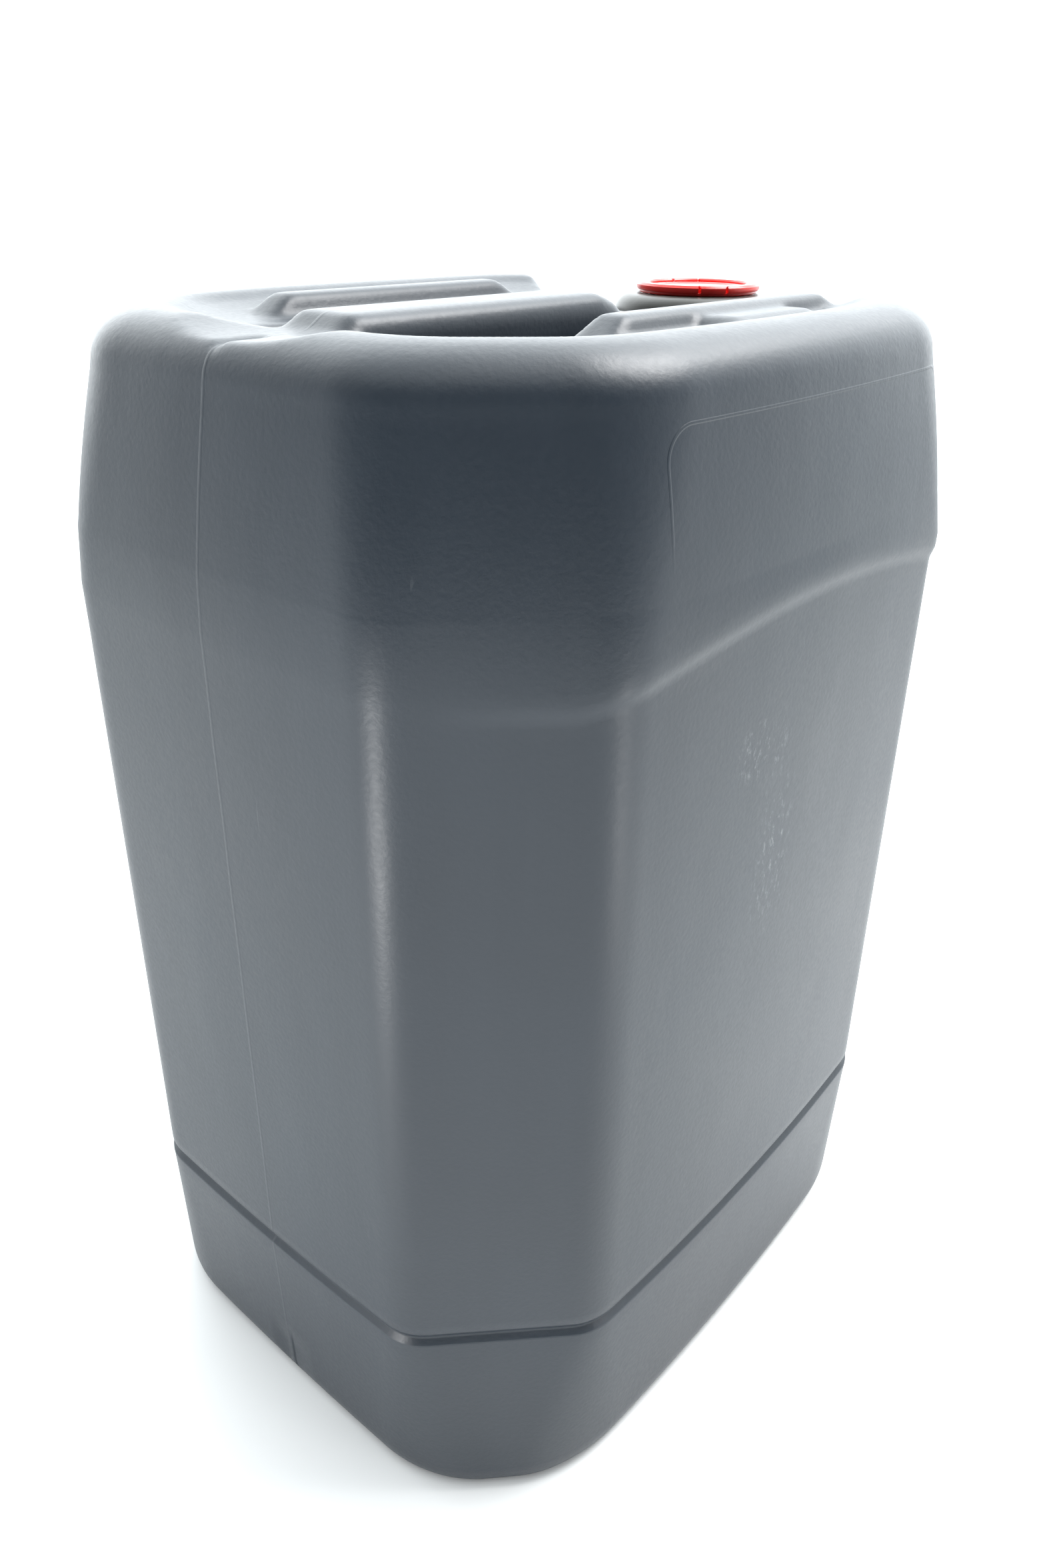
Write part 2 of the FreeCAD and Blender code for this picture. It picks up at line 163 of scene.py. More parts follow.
class NodeBench:
    """A node tree with one method that adds any node."""

    def __init__(self, tree: bpy.types.NodeTree) -> None:
        """Start with an emptied tree.

        Args:
            tree: the tree of a material or a world.
        """
        self.tree = tree
        self.tree.nodes.clear()

    def node(self, kind: str, settings: dict[str, Any], inputs: dict[Any, Any], out: Any = 0) -> Signal:
        """Add a node.

        Args:
            kind: the node's type.
            settings: properties to set before its sockets; "stops" fills a colour ramp.
            inputs: socket name or number to a value or a signal.
            out: the output to return.

        Returns:
            The chosen output as a signal.
        """
        node = self.tree.nodes.new(kind)
        for key, value in settings.items():
            if key == "stops":
                self._fill_ramp(node.color_ramp, value)
            else:
                setattr(node, key, value)
        for key, value in inputs.items():
            self.feed(node.inputs[key], value)
        return Signal(self, node.outputs[out])

    @staticmethod
    def _fill_ramp(ramp: bpy.types.ColorRamp, stops: Sequence[tuple[float, tuple]]) -> None:
        """Set a ramp's stops from (position, colour) pairs."""
        while len(ramp.elements) < len(stops):
            ramp.elements.new(0.5)
        for element, (position, colour) in zip(ramp.elements, stops):
            element.position = position
            element.color = colour

    def feed(self, socket: bpy.types.NodeSocket, value: Any) -> None:
        """Link a signal to a socket, or set the socket's value."""
        if isinstance(value, Signal):
            self.tree.links.new(value.socket, socket)
        else:
            socket.default_value = value


class Paint(NodeBench):
    """A node material with one Principled shader."""

    def __init__(self, name: str) -> None:
        """Start an empty node material.

        Args:
            name: the material's name.
        """
        self.material = bpy.data.materials.new(name)
        self.material.use_nodes = True
        super().__init__(self.material.node_tree)
        self.shader = self.tree.nodes.new("ShaderNodeBsdfPrincipled")
        output = self.tree.nodes.new("ShaderNodeOutputMaterial")
        self.tree.links.new(self.shader.outputs[0], output.inputs["Surface"])
        self.place = self.node("ShaderNodeTexCoord", {}, {}, "Object")

    def set(self, **values: Any) -> None:
        """Feed the Principled shader's sockets, named with underscores for spaces."""
        for key, value in values.items():
            self.feed(self.shader.inputs[key.replace("_", " ")], value)

    def axes(self) -> tuple[Signal, Signal, Signal]:
        """The object's own x, y and z as signals."""
        parts = self.tree.nodes.new("ShaderNodeSeparateXYZ")
        self.tree.links.new(self.place.socket, parts.inputs[0])
        return Signal(self, parts.outputs[0]), Signal(self, parts.outputs[1]), Signal(self, parts.outputs[2])

    def noise(self, scale: float, stretch: Sequence[float] = (1, 1, 1), detail: float = 3.0,
              rough: float = 0.55, shift: float = 0.0) -> Signal:
        """Noise in the object's own coordinates.

        Args:
            scale: features per metre.
            stretch: scale of each axis on top of that.
            detail: octaves.
            rough: how strong the finer octaves are.
            shift: offset that makes one noise differ from another.

        Returns:
            The noise, about 0.5 on average.
        """
        spot = self.node("ShaderNodeMapping", {}, {"Vector": self.place, "Scale": tuple(stretch),
                                                   "Location": (shift, shift * 0.7, shift * 1.3)})
        return self.node("ShaderNodeTexNoise", {"noise_dimensions": "3D"},
                         {"Vector": spot, "Scale": scale, "Detail": detail, "Roughness": rough}, "Fac")

    def mix(self, amount: Any, first: Any, second: Any) -> Signal:
        """Colour between two colours.

        Args:
            amount: 0 for the first, 1 for the second.
            first: a colour or a signal.
            second: a colour or a signal.

        Returns:
            The mixed colour.
        """
        node = self.tree.nodes.new("ShaderNodeMix")
        node.data_type = "RGBA"
        self.feed(node.inputs[0], amount)
        self.feed(node.inputs[6], first)
        self.feed(node.inputs[7], second)
        return Signal(self, node.outputs[2])

    def bump(self, height: Any, depth: float, strength: float = 1.0,
             below: Optional[Signal] = None) -> Signal:
        """Surface relief.

        Args:
            height: the relief, 0 to 1.
            depth: metres between 0 and 1.
            strength: share of the effect.
            below: an earlier bump to build on.

        Returns:
            A normal for the shader.
        """
        inputs: dict[str, Any] = {"Height": height, "Distance": depth, "Strength": strength}
        if below is not None:
            inputs["Normal"] = below
        return self.node("ShaderNodeBump", {}, inputs)


# ---------------------------------------------------------------- finishes

@dataclass(frozen=True)
class CanisterPlastic:
    """Blue-grey blow-moulded polyethylene, satin, with moulding streaks, scuffs and a parting line."""

    colour: tuple[float, ...] = (0.017, 0.024, 0.034, 1.0)
    pale: tuple[float, ...] = (0.028, 0.038, 0.052, 1.0)
    scuff: tuple[float, ...] = (0.52, 0.54, 0.56, 1.0)
    roughness: float = 0.41

    def make(self) -> bpy.types.Material:
        """Build the material."""
        paint = Paint("canister_plastic")
        x, y, z = paint.axes()
        cloud = paint.noise(9.0, detail=2.0)
        streaks = paint.noise(60.0, (1.0, 1.0, 0.06), 3.0, shift=2.0)
        tone = (0.7 * cloud + 0.3 * streaks).fade(0.3, 0.75)
        colour = paint.mix(tone * 0.45, self.colour, self.pale)
        rubs = self._rubs(paint, x, y, z)
        seam = self._seam(paint, x, y, z)
        frame = self._frame(paint, x, y, z)
        colour = paint.mix((rubs * 0.34 + seam * 0.02).least(1.0), colour, self.scuff)
        peel = paint.noise(620.0, detail=2.0, rough=0.45, shift=5.0)
        grain = paint.noise(1900.0, detail=1.0, shift=8.0)
        swell = paint.noise(26.0, (1.0, 1.0, 0.5), 2.0, shift=11.0)
        relief = paint.bump(swell, 0.0011, 0.35)
        relief = paint.bump(peel, 0.00012, 0.55, relief)
        relief = paint.bump(grain, 0.00003, 0.5, relief)
        relief = paint.bump(seam, 0.00012, 0.5, relief)
        relief = paint.bump(frame, 0.00020, 0.7, relief)
        relief = paint.bump(self._pinch(x, y, z), 0.0016, 0.8, relief)
        paint.set(Base_Color=colour, Normal=relief, IOR=1.5,
                  Roughness=self.roughness + (cloud - 0.5) * 0.10 + (peel - 0.5) * 0.10 + rubs * 0.2)
        return paint.material

    @staticmethod
    def _seam(paint: Paint, x: Signal, y: Signal, z: Signal) -> Signal:
        """The fine line that the mould's two halves leave on the plane y = 0."""
        wander = (paint.noise(20.0, detail=1.0, shift=4.0) - 0.5) * 0.0008
        line = abs(y + wander).fade(0.0008, 0.0002)
        return line * abs(x).fade(0.02, 0.06).most(z.fade(0.39, 0.40))

    @staticmethod
    def _frame(paint: Paint, x: Signal, y: Signal, z: Signal) -> Signal:
        """The fine raised outline of the label field on each long side."""
        past_x = (abs(x - 0.004) - 0.072).most(0.0)
        past_z = (abs(z - 0.2325) - 0.1415).most(0.0)
        reach = paint.node("ShaderNodeMath", {"operation": "SQRT"}, {0: past_x * past_x + past_z * past_z})
        line = abs(reach - 0.010).fade(0.0006, 0.0002)
        return line * abs(y).fade(0.100, 0.106) * z.fade(0.345, 0.372)

    @staticmethod
    def _pinch(x: Signal, y: Signal, z: Signal) -> Signal:
        """The fold where the mould pinched the parison shut, low on the -X end."""
        hollow = abs(y + 0.001).fade(0.014, 0.002) * abs(z - 0.014).fade(0.018, 0.004)
        fold = abs(y + 0.001).fade(0.0022, 0.0004) * abs(z - 0.012).fade(0.016, 0.006)
        return (fold * 0.8 - hollow) * x.fade(-0.120, -0.128)

    @staticmethod
    def _rubs(paint: Paint, x: Signal, y: Signal, z: Signal) -> Signal:
        """Whitish rub marks: two patches on the long side and fine scratches all over."""
        side = y.fade(-0.105, -0.112)
        upper = abs(x + 0.025).fade(0.020, 0.006) * abs(z - 0.281).fade(0.014, 0.004)
        lower = abs(x + 0.012).fade(0.015, 0.003) * abs(z - 0.238).fade(0.040, 0.008)
        spots = paint.noise(520.0, (1.0, 1.0, 0.45), 5.0, 0.78, 3.0).fade(0.52, 0.72)
        patches = side * (upper + lower) * spots
        warp = paint.noise(14.0, detail=1.0, shift=6.0)
        lines = paint.noise(900.0, (1.0, 1.0, 0.03), 1.0, shift=9.0).fade(0.72, 0.80)
        return (patches + lines * warp.fade(0.62, 0.75) * 0.35).least(1.0)


@dataclass(frozen=True)
class MouldedPlastic:
    """Injection-moulded plastic with a fine grain, faint clouds and paler worn flecks."""

    name: str
    colour: tuple[float, ...]
    worn: tuple[float, ...]
    roughness: float
    grain: float = 0.00003
    wear: float = 0.4

    def make(self) -> bpy.types.Material:
        """Build the material."""
        paint = Paint(self.name)
        cloud = paint.noise(120.0, detail=3.0)
        grain = paint.noise(2600.0, detail=2.0, shift=3.0)
        flecks = paint.noise(700.0, detail=3.0, rough=0.7, shift=6.0).fade(0.62, 0.74)
        amount = (cloud.fade(0.35, 0.8) * 0.25 + flecks * 0.3) * self.wear
        rings = paint.bump(paint.noise(240.0, detail=1.0, shift=9.0), 0.00012, 0.4)
        paint.set(Base_Color=paint.mix(amount, self.colour, self.worn), IOR=1.5,
                  Roughness=self.roughness + (cloud - 0.5) * 0.12 + flecks * 0.10,
                  Normal=paint.bump(grain, self.grain, 0.6, rings))
        return paint.material


@dataclass(frozen=True)
class StudioPaper:
    """Plain pale background paper."""

    colour: tuple[float, ...] = (0.93, 0.935, 0.93, 1.0)

    def make(self) -> bpy.types.Material:
        """Build the material."""
        paint = Paint("studio_paper")
        fibres = paint.noise(300.0, detail=2.0)
        paint.set(Base_Color=self.colour, Roughness=0.9 + (fibres - 0.5) * 0.05)
        return paint.material


@dataclass(frozen=True)
class Finishes:
    """Every finish of the canister, made once."""

    canister: bpy.types.Material
    black: bpy.types.Material
    red: bpy.types.Material
    natural: bpy.types.Material
    rubber: bpy.types.Material

    @classmethod
    def make(cls) -> "Finishes":
        """Build all the materials."""
        return cls(
            canister=CanisterPlastic().make(),
            black=MouldedPlastic("black_plastic", (0.022, 0.022, 0.018, 1), (0.11, 0.11, 0.10, 1),
                                 0.36).make(),
            red=MouldedPlastic("red_plastic", (0.95, 0.028, 0.020, 1), (0.97, 0.25, 0.22, 1), 0.30).make(),
            natural=MouldedPlastic("natural_plastic", (0.74, 0.74, 0.69, 1), (0.86, 0.86, 0.84, 1),
                                   0.38).make(),
            rubber=MouldedPlastic("seal_rubber", (0.03, 0.03, 0.03, 1), (0.09, 0.09, 0.09, 1), 0.62).make())


# ---------------------------------------------------------------- mesh kit

def lay_out(bm: bmesh.types.BMesh, verts: Sequence[bmesh.types.BMVert], outline: Outline, z: Outline,
            centre: Vector) -> None:
    """Move a ring's vertices to an outline, each along its own direction from the centre.

    Args:
        bm: the mesh.
        verts: the ring's vertices.
        outline: distance from the centre at an angle.
        z: height at an angle.
        centre: the centre in plan.
    """
    for vert in verts:
        angle = math.atan2(vert.co.y - centre.y, vert.co.x - centre.x)
        reach = outline(angle)
        vert.co = Vector((centre.x + reach * math.cos(angle), centre.y + reach * math.sin(angle), z(angle)))


def stack_rings(rings: Sequence[tuple[Outline, Outline]], angles: Sequence[float], centre: Vector,
                cap_top: bool = True, cap_bottom: bool = True) -> bmesh.types.BMesh:
    """A skin through rings that lie one above the other.

    Args:
        rings: outline and height of each ring, from the first to the last.
        angles: direction of each vertex of a ring.
        centre: the centre in plan.
        cap_top: close the last ring.
        cap_bottom: close the first ring.

    Returns:
        The mesh, its faces pointing outwards.
    """
    bm = bmesh.new()
    made = bmesh.ops.create_circle(bm, cap_ends=cap_bottom, segments=len(angles), radius=1.0)
    for vert, angle in zip(made["verts"], angles):
        vert.co = centre + Vector((math.cos(angle), math.sin(angle), 0.0))
    lay_out(bm, made["verts"], *rings[0], centre)
    edges = list(bm.edges)
    for outline, z in rings[1:]:
        raised = bmesh.ops.extrude_edge_only(bm, edges=edges)["geom"]
        verts = [part for part in raised if isinstance(part, bmesh.types.BMVert)]
        edges = [part for part in raised if isinstance(part, bmesh.types.BMEdge)]
        lay_out(bm, verts, outline, z, centre)
    if cap_top:
        bmesh.ops.edgeloop_fill(bm, edges=edges)
    bmesh.ops.recalc_face_normals(bm, faces=bm.faces)
    return bm


def even_angles(outline: Outline, count: int) -> list[float]:
    """Directions that space a ring's vertices evenly along its outline.

    Args:
        outline: distance from the centre at an angle.
        count: how many vertices.

    Returns:
        The angles, in order.
    """
    fine = 4000
    points = [(outline(2 * math.pi * n / fine), 2 * math.pi * n / fine) for n in range(fine + 1)]
    run = [0.0]
    for (r0, a0), (r1, a1) in zip(points, points[1:]):
        run.append(run[-1] + math.hypot(r1 * math.cos(a1) - r0 * math.cos(a0),
                                        r1 * math.sin(a1) - r0 * math.sin(a0)))
    angles, spot = [], 0
    for n in range(count):
        target = run[-1] * (n + 0.5) / count
        while run[spot + 1] < target:
            spot += 1
        share = (target - run[spot]) / (run[spot + 1] - run[spot])
        angles.append(points[spot][1] + share * (points[spot + 1][1] - points[spot][1]))
    return angles


def circle_angles(count: int) -> list[float]:
    """Evenly spaced directions."""
    return [2 * math.pi * n / count for n in range(count)]


def lathe(profile: Sequence[tuple[float, float]], centre: Vector, steps: int = 96, soft: float = 0.0,
          segments: int = 2) -> bmesh.types.BMesh:
    """A solid turned about an upright axis.

    Args:
        profile: closed outline of (radius, z) points; radius 0 lies on the axis.
        centre: a point on the axis.
        steps: facets round the axis.
        soft: radius that rounds the profile's corners.
        segments: facets of each rounding.

    Returns:
        The mesh.
    """
    bm = bmesh.new()
    verts = [bm.verts.new((centre.x + r, centre.y, z)) for r, z in profile]
    closed = all(r > 1e-9 for r, _ in profile)
    for first, second in zip(verts, verts[1:] + (verts[:1] if closed else [])):
        bm.edges.new((first, second))
    if soft > 0:
        inner = [v for v in bm.verts if len(v.link_edges) == 2]
        bmesh.ops.bevel(bm, geom=inner, offset=soft, offset_type="OFFSET", segments=segments, profile=0.5,
                        affect="VERTICES", material=-1, clamp_overlap=True)
    bmesh.ops.spin(bm, geom=bm.verts[:] + bm.edges[:], cent=centre, axis=(0, 0, 1), angle=2 * math.pi,
                   steps=steps, use_merge=True)
    bmesh.ops.remove_doubles(bm, verts=bm.verts, dist=1e-6)
    bmesh.ops.recalc_face_normals(bm, faces=bm.faces)
    return bm


def block(low: Sequence[float], high: Sequence[float], top_in: Sequence[float] = (0, 0)) -> bmesh.types.BMesh:
    """A box whose top may be smaller than its foot.

    Args:
        low: lowest corner.
        high: highest corner.
        top_in: how far the top is drawn in along x and y.

    Returns:
        The mesh.
    """
    bm = bmesh.new()
    bmesh.ops.create_cube(bm, size=1.0)
    middle = (Vector(low) + Vector(high)) / 2
    size = Vector(high) - Vector(low)
    for vert in bm.verts:
        inward = Vector((top_in[0], top_in[1], 0)) if vert.co.z > 0 else Vector((0, 0, 0))
        vert.co = middle + Vector([vert.co[k] * (size[k] - 2 * inward[k]) for k in range(3)])
    return bm


def round_edges(bm: bmesh.types.BMesh, radius: float, segments: int = 4,
                chosen: Optional[Callable[[bmesh.types.BMEdge], bool]] = None) -> None:
    """Round a mesh's edges.

    Args:
        bm: the mesh.
        radius: size of the rounding.
        segments: facets across it.
        chosen: which edges; every edge when left out.
    """
    edges = [edge for edge in bm.edges if chosen is None or chosen(edge)]
    bmesh.ops.bevel(bm, geom=edges, offset=radius, offset_type="OFFSET", segments=segments, profile=0.5,
                    affect="EDGES", material=-1, clamp_overlap=True)


def upright(edge: bmesh.types.BMEdge) -> bool:
    """Whether an edge runs mostly up and down."""
    run = edge.verts[0].co - edge.verts[1].co
    return abs(run.z) > 0.8 * run.length


def piece(name: str, bm: bmesh.types.BMesh,
          material: Optional[bpy.types.Material] = None) -> bpy.types.Object:
    """Turn a mesh into an object at the origin, smooth all over.

    Args:
        name: the object's name.
        bm: the mesh, which is freed.
        material: its finish.

    Returns:
        The object.
    """
    mesh = bpy.data.meshes.new(name)
    bm.to_mesh(mesh)
    bm.free()
    mesh.shade_smooth()
    if material is not None:
        mesh.materials.append(material)
    made = bpy.data.objects.new(name, mesh)
    bpy.context.scene.collection.objects.link(made)
    return made


def settle(made: bpy.types.Object) -> bpy.types.Object:
    """Apply an object's modifiers to its mesh."""
    bpy.context.view_layer.update()
    graph = bpy.context.evaluated_depsgraph_get()
    mesh = bpy.data.meshes.new_from_object(made.evaluated_get(graph))
    made.modifiers.clear()
    made.data = mesh
    return made


def combine(made: bpy.types.Object, other: bpy.types.Object, operation: str) -> bpy.types.Object:
    """Cut one object with another, or join them, and drop the other.

    Args:
        made: the object that stays.
        other: the tool.
        operation: DIFFERENCE, UNION or INTERSECT.

    Returns:
        The object that stays.
    """
    cut = made.modifiers.new("cut", "BOOLEAN")
    cut.operation = operation
    cut.solver = "EXACT"
    cut.object = other
    settle(made)
    bpy.data.objects.remove(other)
    return made


def prism(points: Sequence[tuple[float, float]], low: float, high: float, spread: float = 0.0,
          radius: float = 0.0, plane: str = "xy") -> bmesh.types.BMesh:
    """A prism over a polygon, its far end larger or smaller, its long edges rounded.

    Args:
        points: the polygon.
        low: where the prism starts along its axis.
        high: where it ends.
        spread: how far the far end grows outwards.
        radius: rounding of the edges along the axis.
        plane: "xy" for an upright prism, "xz" for one along y.

    Returns:
        The mesh.
    """
    bm = bmesh.new()
    if plane == "xy":
        spots = [Vector((x, y, low)) for x, y in points]
        shift = Vector((0, 0, high - low))
    else:
        spots = [Vector((x, low, z)) for x, z in points]
        shift = Vector((0, high - low, 0))
    near = [bm.verts.new(spot) for spot in spots]
    bm.faces.new(near)
    made = bmesh.ops.extrude_face_region(bm, geom=bm.faces[:])["geom"]
    far = [part for part in made if isinstance(part, bmesh.types.BMVert)]
    bmesh.ops.translate(bm, verts=far, vec=shift)
    middle = sum((vert.co for vert in far), Vector()) / len(far)
    if spread:
        size = [max(abs((vert.co - middle)[axis]) for vert in far) or 1.0 for axis in range(3)]
        scale = Vector([1 + spread / size[axis] if shift[axis] == 0 else 1 for axis in range(3)])
        bmesh.ops.scale(bm, verts=far, vec=scale, space=Matrix.Translation(-middle))
    bmesh.ops.recalc_face_normals(bm, faces=bm.faces)
    if radius:
        way = shift.normalized()
        round_edges(bm, radius, 6,
                    lambda edge: abs((edge.verts[0].co - edge.verts[1].co).normalized().dot(way)) > 0.7)
    return bm


# ---------------------------------------------------------------- the canister

def soft_least(first: float, second: float, blend: float) -> float:
    """The lesser of two lengths, rounded where they are nearly equal."""
    share = max(blend - abs(first - second), 0.0) / blend
    return min(first, second) - share * share * blend / 4


@dataclass
class PlanShape:
    """Plan outline of the canister: a rectangle with cut corners and bowed sides."""

    length: float = 0.2919
    width: float = 0.240
    corner_leg: float = 0.050
    side_bow: float = 0.0035
    end_bow: float = 0.0015
    edge_blend: float = 0.31

    def reach(self, angle: float, inset: float, radius: float, end_in: float = 0.0,
              extra_leg: float = 0.0) -> float:
        """Distance from the middle to the outline.

        Args:
            angle: direction in plan.
            inset: how far the outline is drawn in.
            radius: rounding of the upright edges.
            end_in: how much further the ends are drawn in.
            extra_leg: how much longer the cut of the corners is.

        Returns:
            The distance.
        """
        across, along = abs(math.cos(angle)) + 1e-9, abs(math.sin(angle)) + 1e-9
        a, b = self.length / 2 - inset - end_in, self.width / 2 - inset
        leg = self.corner_leg + extra_leg - 0.586 * inset
        side_x, side_y = a - leg, b - self.side_bow
        end_x, end_y = a - self.end_bow, b - leg
        side = self._bow(along, across, b, side_x, self.side_bow)
        end = self._bow(across, along, a, end_y, self.end_bow)
        normal_x, normal_y = side_y - end_y, end_x - side_x
        corner = (normal_x * side_x + normal_y * side_y) / (normal_x * across + normal_y * along)
        blend = self.edge_blend * radius
        return soft_least(soft_least(side, corner, blend), end, blend)

    @staticmethod
    def _bow(toward: float, aside: float, distance: float, half: float, bow: float) -> float:
        """Distance along a ray to a bowed side."""
        radius = (half * half + bow * bow) / (2 * bow)
        centre = distance - radius
        lean = toward * centre
        inside = lean * lean - centre * centre + radius * radius
        return lean + math.sqrt(max(inside, 0.0)) if inside > 0 else aside * 10


@dataclass
class Canister:
    """The blow-moulded shell with its handle, stacking rails and neck."""

    finish: bpy.types.Material
    plan: PlanShape = field(default_factory=PlanShape)
    rim: float = 0.403
    wall: float = 0.0022
    edge_radius: float = 0.020
    top_radius: float = 0.040
    end_taper: float = 0.0042
    top_cut: float = 0.003
    base_round: float = 0.011
    base_draw: float = 0.0055
    band_draft: float = 0.0020
    base_radius: float = 0.056
    base_cut: float = -0.008
    channel: tuple[float, float, float] = (-0.0110, 0.0095, 0.0025)
    groove: float = 0.0805
    crease: float = 0.3135
    crease_arch: float = 0.013
    panel_low: float = 0.0003
    panel_high: float = 0.0018
    upper_inset: float = 0.0005
    taper: float = 0.0073
    taper_power: float = 1.4
    join: float = 0.341
    upper_start: float = 0.319
    upper_height: float = 0.069
    scoop_radius: float = 0.130
    shoulder_in: float = 0.018
    shoulder_down: float = 0.015
    neck: Vector = field(default_factory=lambda: Vector((0.100, 0.0, 0.0)))
    neck_top: float = 0.3955
    neck_radius: float = 0.0275
    bore: float = 0.024
    voxel: float = 0.0015
    ring_count: int = 400

    def build(self) -> bpy.types.Object:
        """Make the whole shell.

        Returns:
            The finished object.
        """
        top = self._top_block()
        for tool in (self._dish(), self._pocket(), self._lip(), self._pit(), self._scoop(),
                     self._end_notch()):
            combine(top, piece("tool", tool), "DIFFERENCE")
        for part in [self._handle()] + self._rails():
            combine(top, piece("part", part), "UNION")
        self._soften(top)
        shell = self._join_to_walls(top)
        combine(shell, piece("neck", self._neck()), "UNION")
        combine(shell, self._inside(), "DIFFERENCE")
        combine(shell, piece("channel", self._channel()), "DIFFERENCE")
        shell.data.shade_smooth()
        shell.data.materials.clear()
        shell.data.materials.append(self.finish)
        shell.name = "canister_shell"
        return shell

    def _side_share(self, angle: float) -> float:
        """1 on the long sides, falling to 0 on the ends."""
        share = (abs(math.sin(angle)) - 0.48) / 0.26
        share = min(max(share, 0.0), 1.0)
        return share * share * (3 - 2 * share)

    def _crease_z(self, angle: float) -> float:
        """Height of the arched crease above which the sides stand proud."""
        lean = abs(math.sin(angle))
        return self.crease + self.crease_arch * max((lean - 0.72) / 0.28, 0.0) ** 0.8

    def _ring(self, inset: Union[float, Outline], z: Union[float, Outline], radius: Optional[float] = None,
              end_in: float = 0.0, extra_leg: float = 0.0) -> tuple[Outline, Outline]:
        """One outline and its height, from fixed or angle-dependent inset and height."""
        size = self.edge_radius if radius is None else radius
        inward = inset if callable(inset) else (lambda angle: inset)
        height = z if callable(z) else (lambda angle: z)
        return (lambda angle: self.plan.reach(angle, inward(angle), size, end_in, extra_leg)), height

    def _upper(self, share: float) -> tuple[Outline, Outline]:
        """A ring of the tapered upper band.

        Args:
            share: 0 at the crease, 1 where the shoulder starts.

        Returns:
            Outline and height.
        """
        start, end = self.upper_start, self.rim - self.shoulder_down
        inward = self.upper_inset + self.taper * share ** self.taper_power
        radius = self.edge_radius + (self.top_radius - self.edge_radius) * share
        return self._ring(inward, start + (end - start) * share, radius, self.end_taper * share,
                          self.top_cut * share ** 2)

    def _top_block(self) -> bpy.types.Object:
        """Upper part of the canister as if its top were flat."""
        rings = [self._upper(step / 14) for step in range(2, 15)]
        for step in range(1, 13):
            turned = math.radians(88.0 * step / 12)
            inward = self.taper + self.upper_inset + self.shoulder_in * (1 - math.cos(turned))
            z = self.rim - self.shoulder_down * (1 - math.sin(turned))
            rings.append(self._ring(inward, z, self.top_radius, self.end_taper, self.top_cut))
        return piece("canister_top", stack_rings(rings, circle_angles(self.ring_count), Vector()))

    def _dish(self) -> bmesh.types.BMesh:
        """The space above the sunken deck."""
        levels = ((0.060, 0.3965, 0.024), (0.047, 0.3982, 0.028), (0.036, 0.4006, 0.031),
                  (0.030, 0.4032, 0.034), (0.024, 0.4072, 0.034))
        rings = [self._ring(inset, z, radius, self.end_taper, self.top_cut) for inset, z, radius in levels]
        return stack_rings(rings, circle_angles(160), Vector())

    def _pocket(self) -> bmesh.types.BMesh:
        """The low space round the neck, open at the +X end."""
        return prism(self._pocket_plan(), 0.370, 0.4105, 0.009, 0.014)

    def _lip(self) -> bmesh.types.BMesh:
        """The bevel along the upper edge of the space round the neck."""
        return prism(self._pocket_plan(0.005), 0.3975, 0.4105, 0.012, 0.014)

    @staticmethod
    def _pocket_plan(grow: float = 0.0) -> Sequence[tuple[float, float]]:
        """Corners of the space round the neck.

        Args:
            grow: how far the plan is set out.

        Returns:
            The corners in plan.
        """
        wide = 0.414 * grow
        return ((0.052 - grow, -0.028 - wide), (0.190, -0.166 - grow * 1.414), (0.190, 0.166 + grow * 1.414),
                (0.052 - grow, 0.028 + wide))

    def _pit(self) -> bmesh.types.BMesh:
        """The finger space under the handle."""
        points = ((-0.084, -0.036), (0.020, -0.036), (0.020, 0.036), (-0.084, 0.036))
        return prism(points, 0.352, 0.4105, 0.009, 0.014)

    def _scoop(self) -> bmesh.types.BMesh:
        """The shallow valley over the -X end."""
        bm = bmesh.new()
        radius = self.scoop_radius
        turn = Matrix.Translation((-0.118, 0, 0.399 + radius)) @ Matrix.Rotation(math.pi / 2, 4, "Y")
        bmesh.ops.create_cone(bm, cap_ends=True, segments=160, radius1=radius, radius2=radius, depth=0.086,
                              matrix=turn)
        return bm

    def _end_notch(self) -> bmesh.types.BMesh:
        """The small notch that the parting line leaves at the top of the -X end."""
        points = ((-0.0035, 0.4005), (0.0, 0.3972), (0.0035, 0.4005))
        bm = prism([(y, z) for y, z in points], -0.150, -0.112, plane="xz")
        bmesh.ops.rotate(bm, verts=bm.verts, cent=(0, 0, 0), matrix=Matrix.Rotation(-math.pi / 2, 3, "Z"))
        bmesh.ops.recalc_face_normals(bm, faces=bm.faces)
        return bm

    def _handle(self) -> bmesh.types.BMesh:
        """The carrying handle: an arch with rounded edges."""
        profile = ((-0.110, 0.346), (-0.100, 0.393), (-0.097, 0.400), (-0.091, 0.404), (0.021, 0.404),
                   (0.030, 0.401), (0.035, 0.395), (0.051, 0.346), (0.019, 0.346), (0.011, 0.372),
                   (0.001, 0.385), (-0.066, 0.385), (-0.074, 0.376), (-0.078, 0.346))
        bm = prism(profile, -0.015, 0.015, plane="xz")
        round_edges(bm, 0.0055, 5, lambda edge: abs(edge.verts[0].co.y - edge.verts[1].co.y) < 1e-6)
        return bm

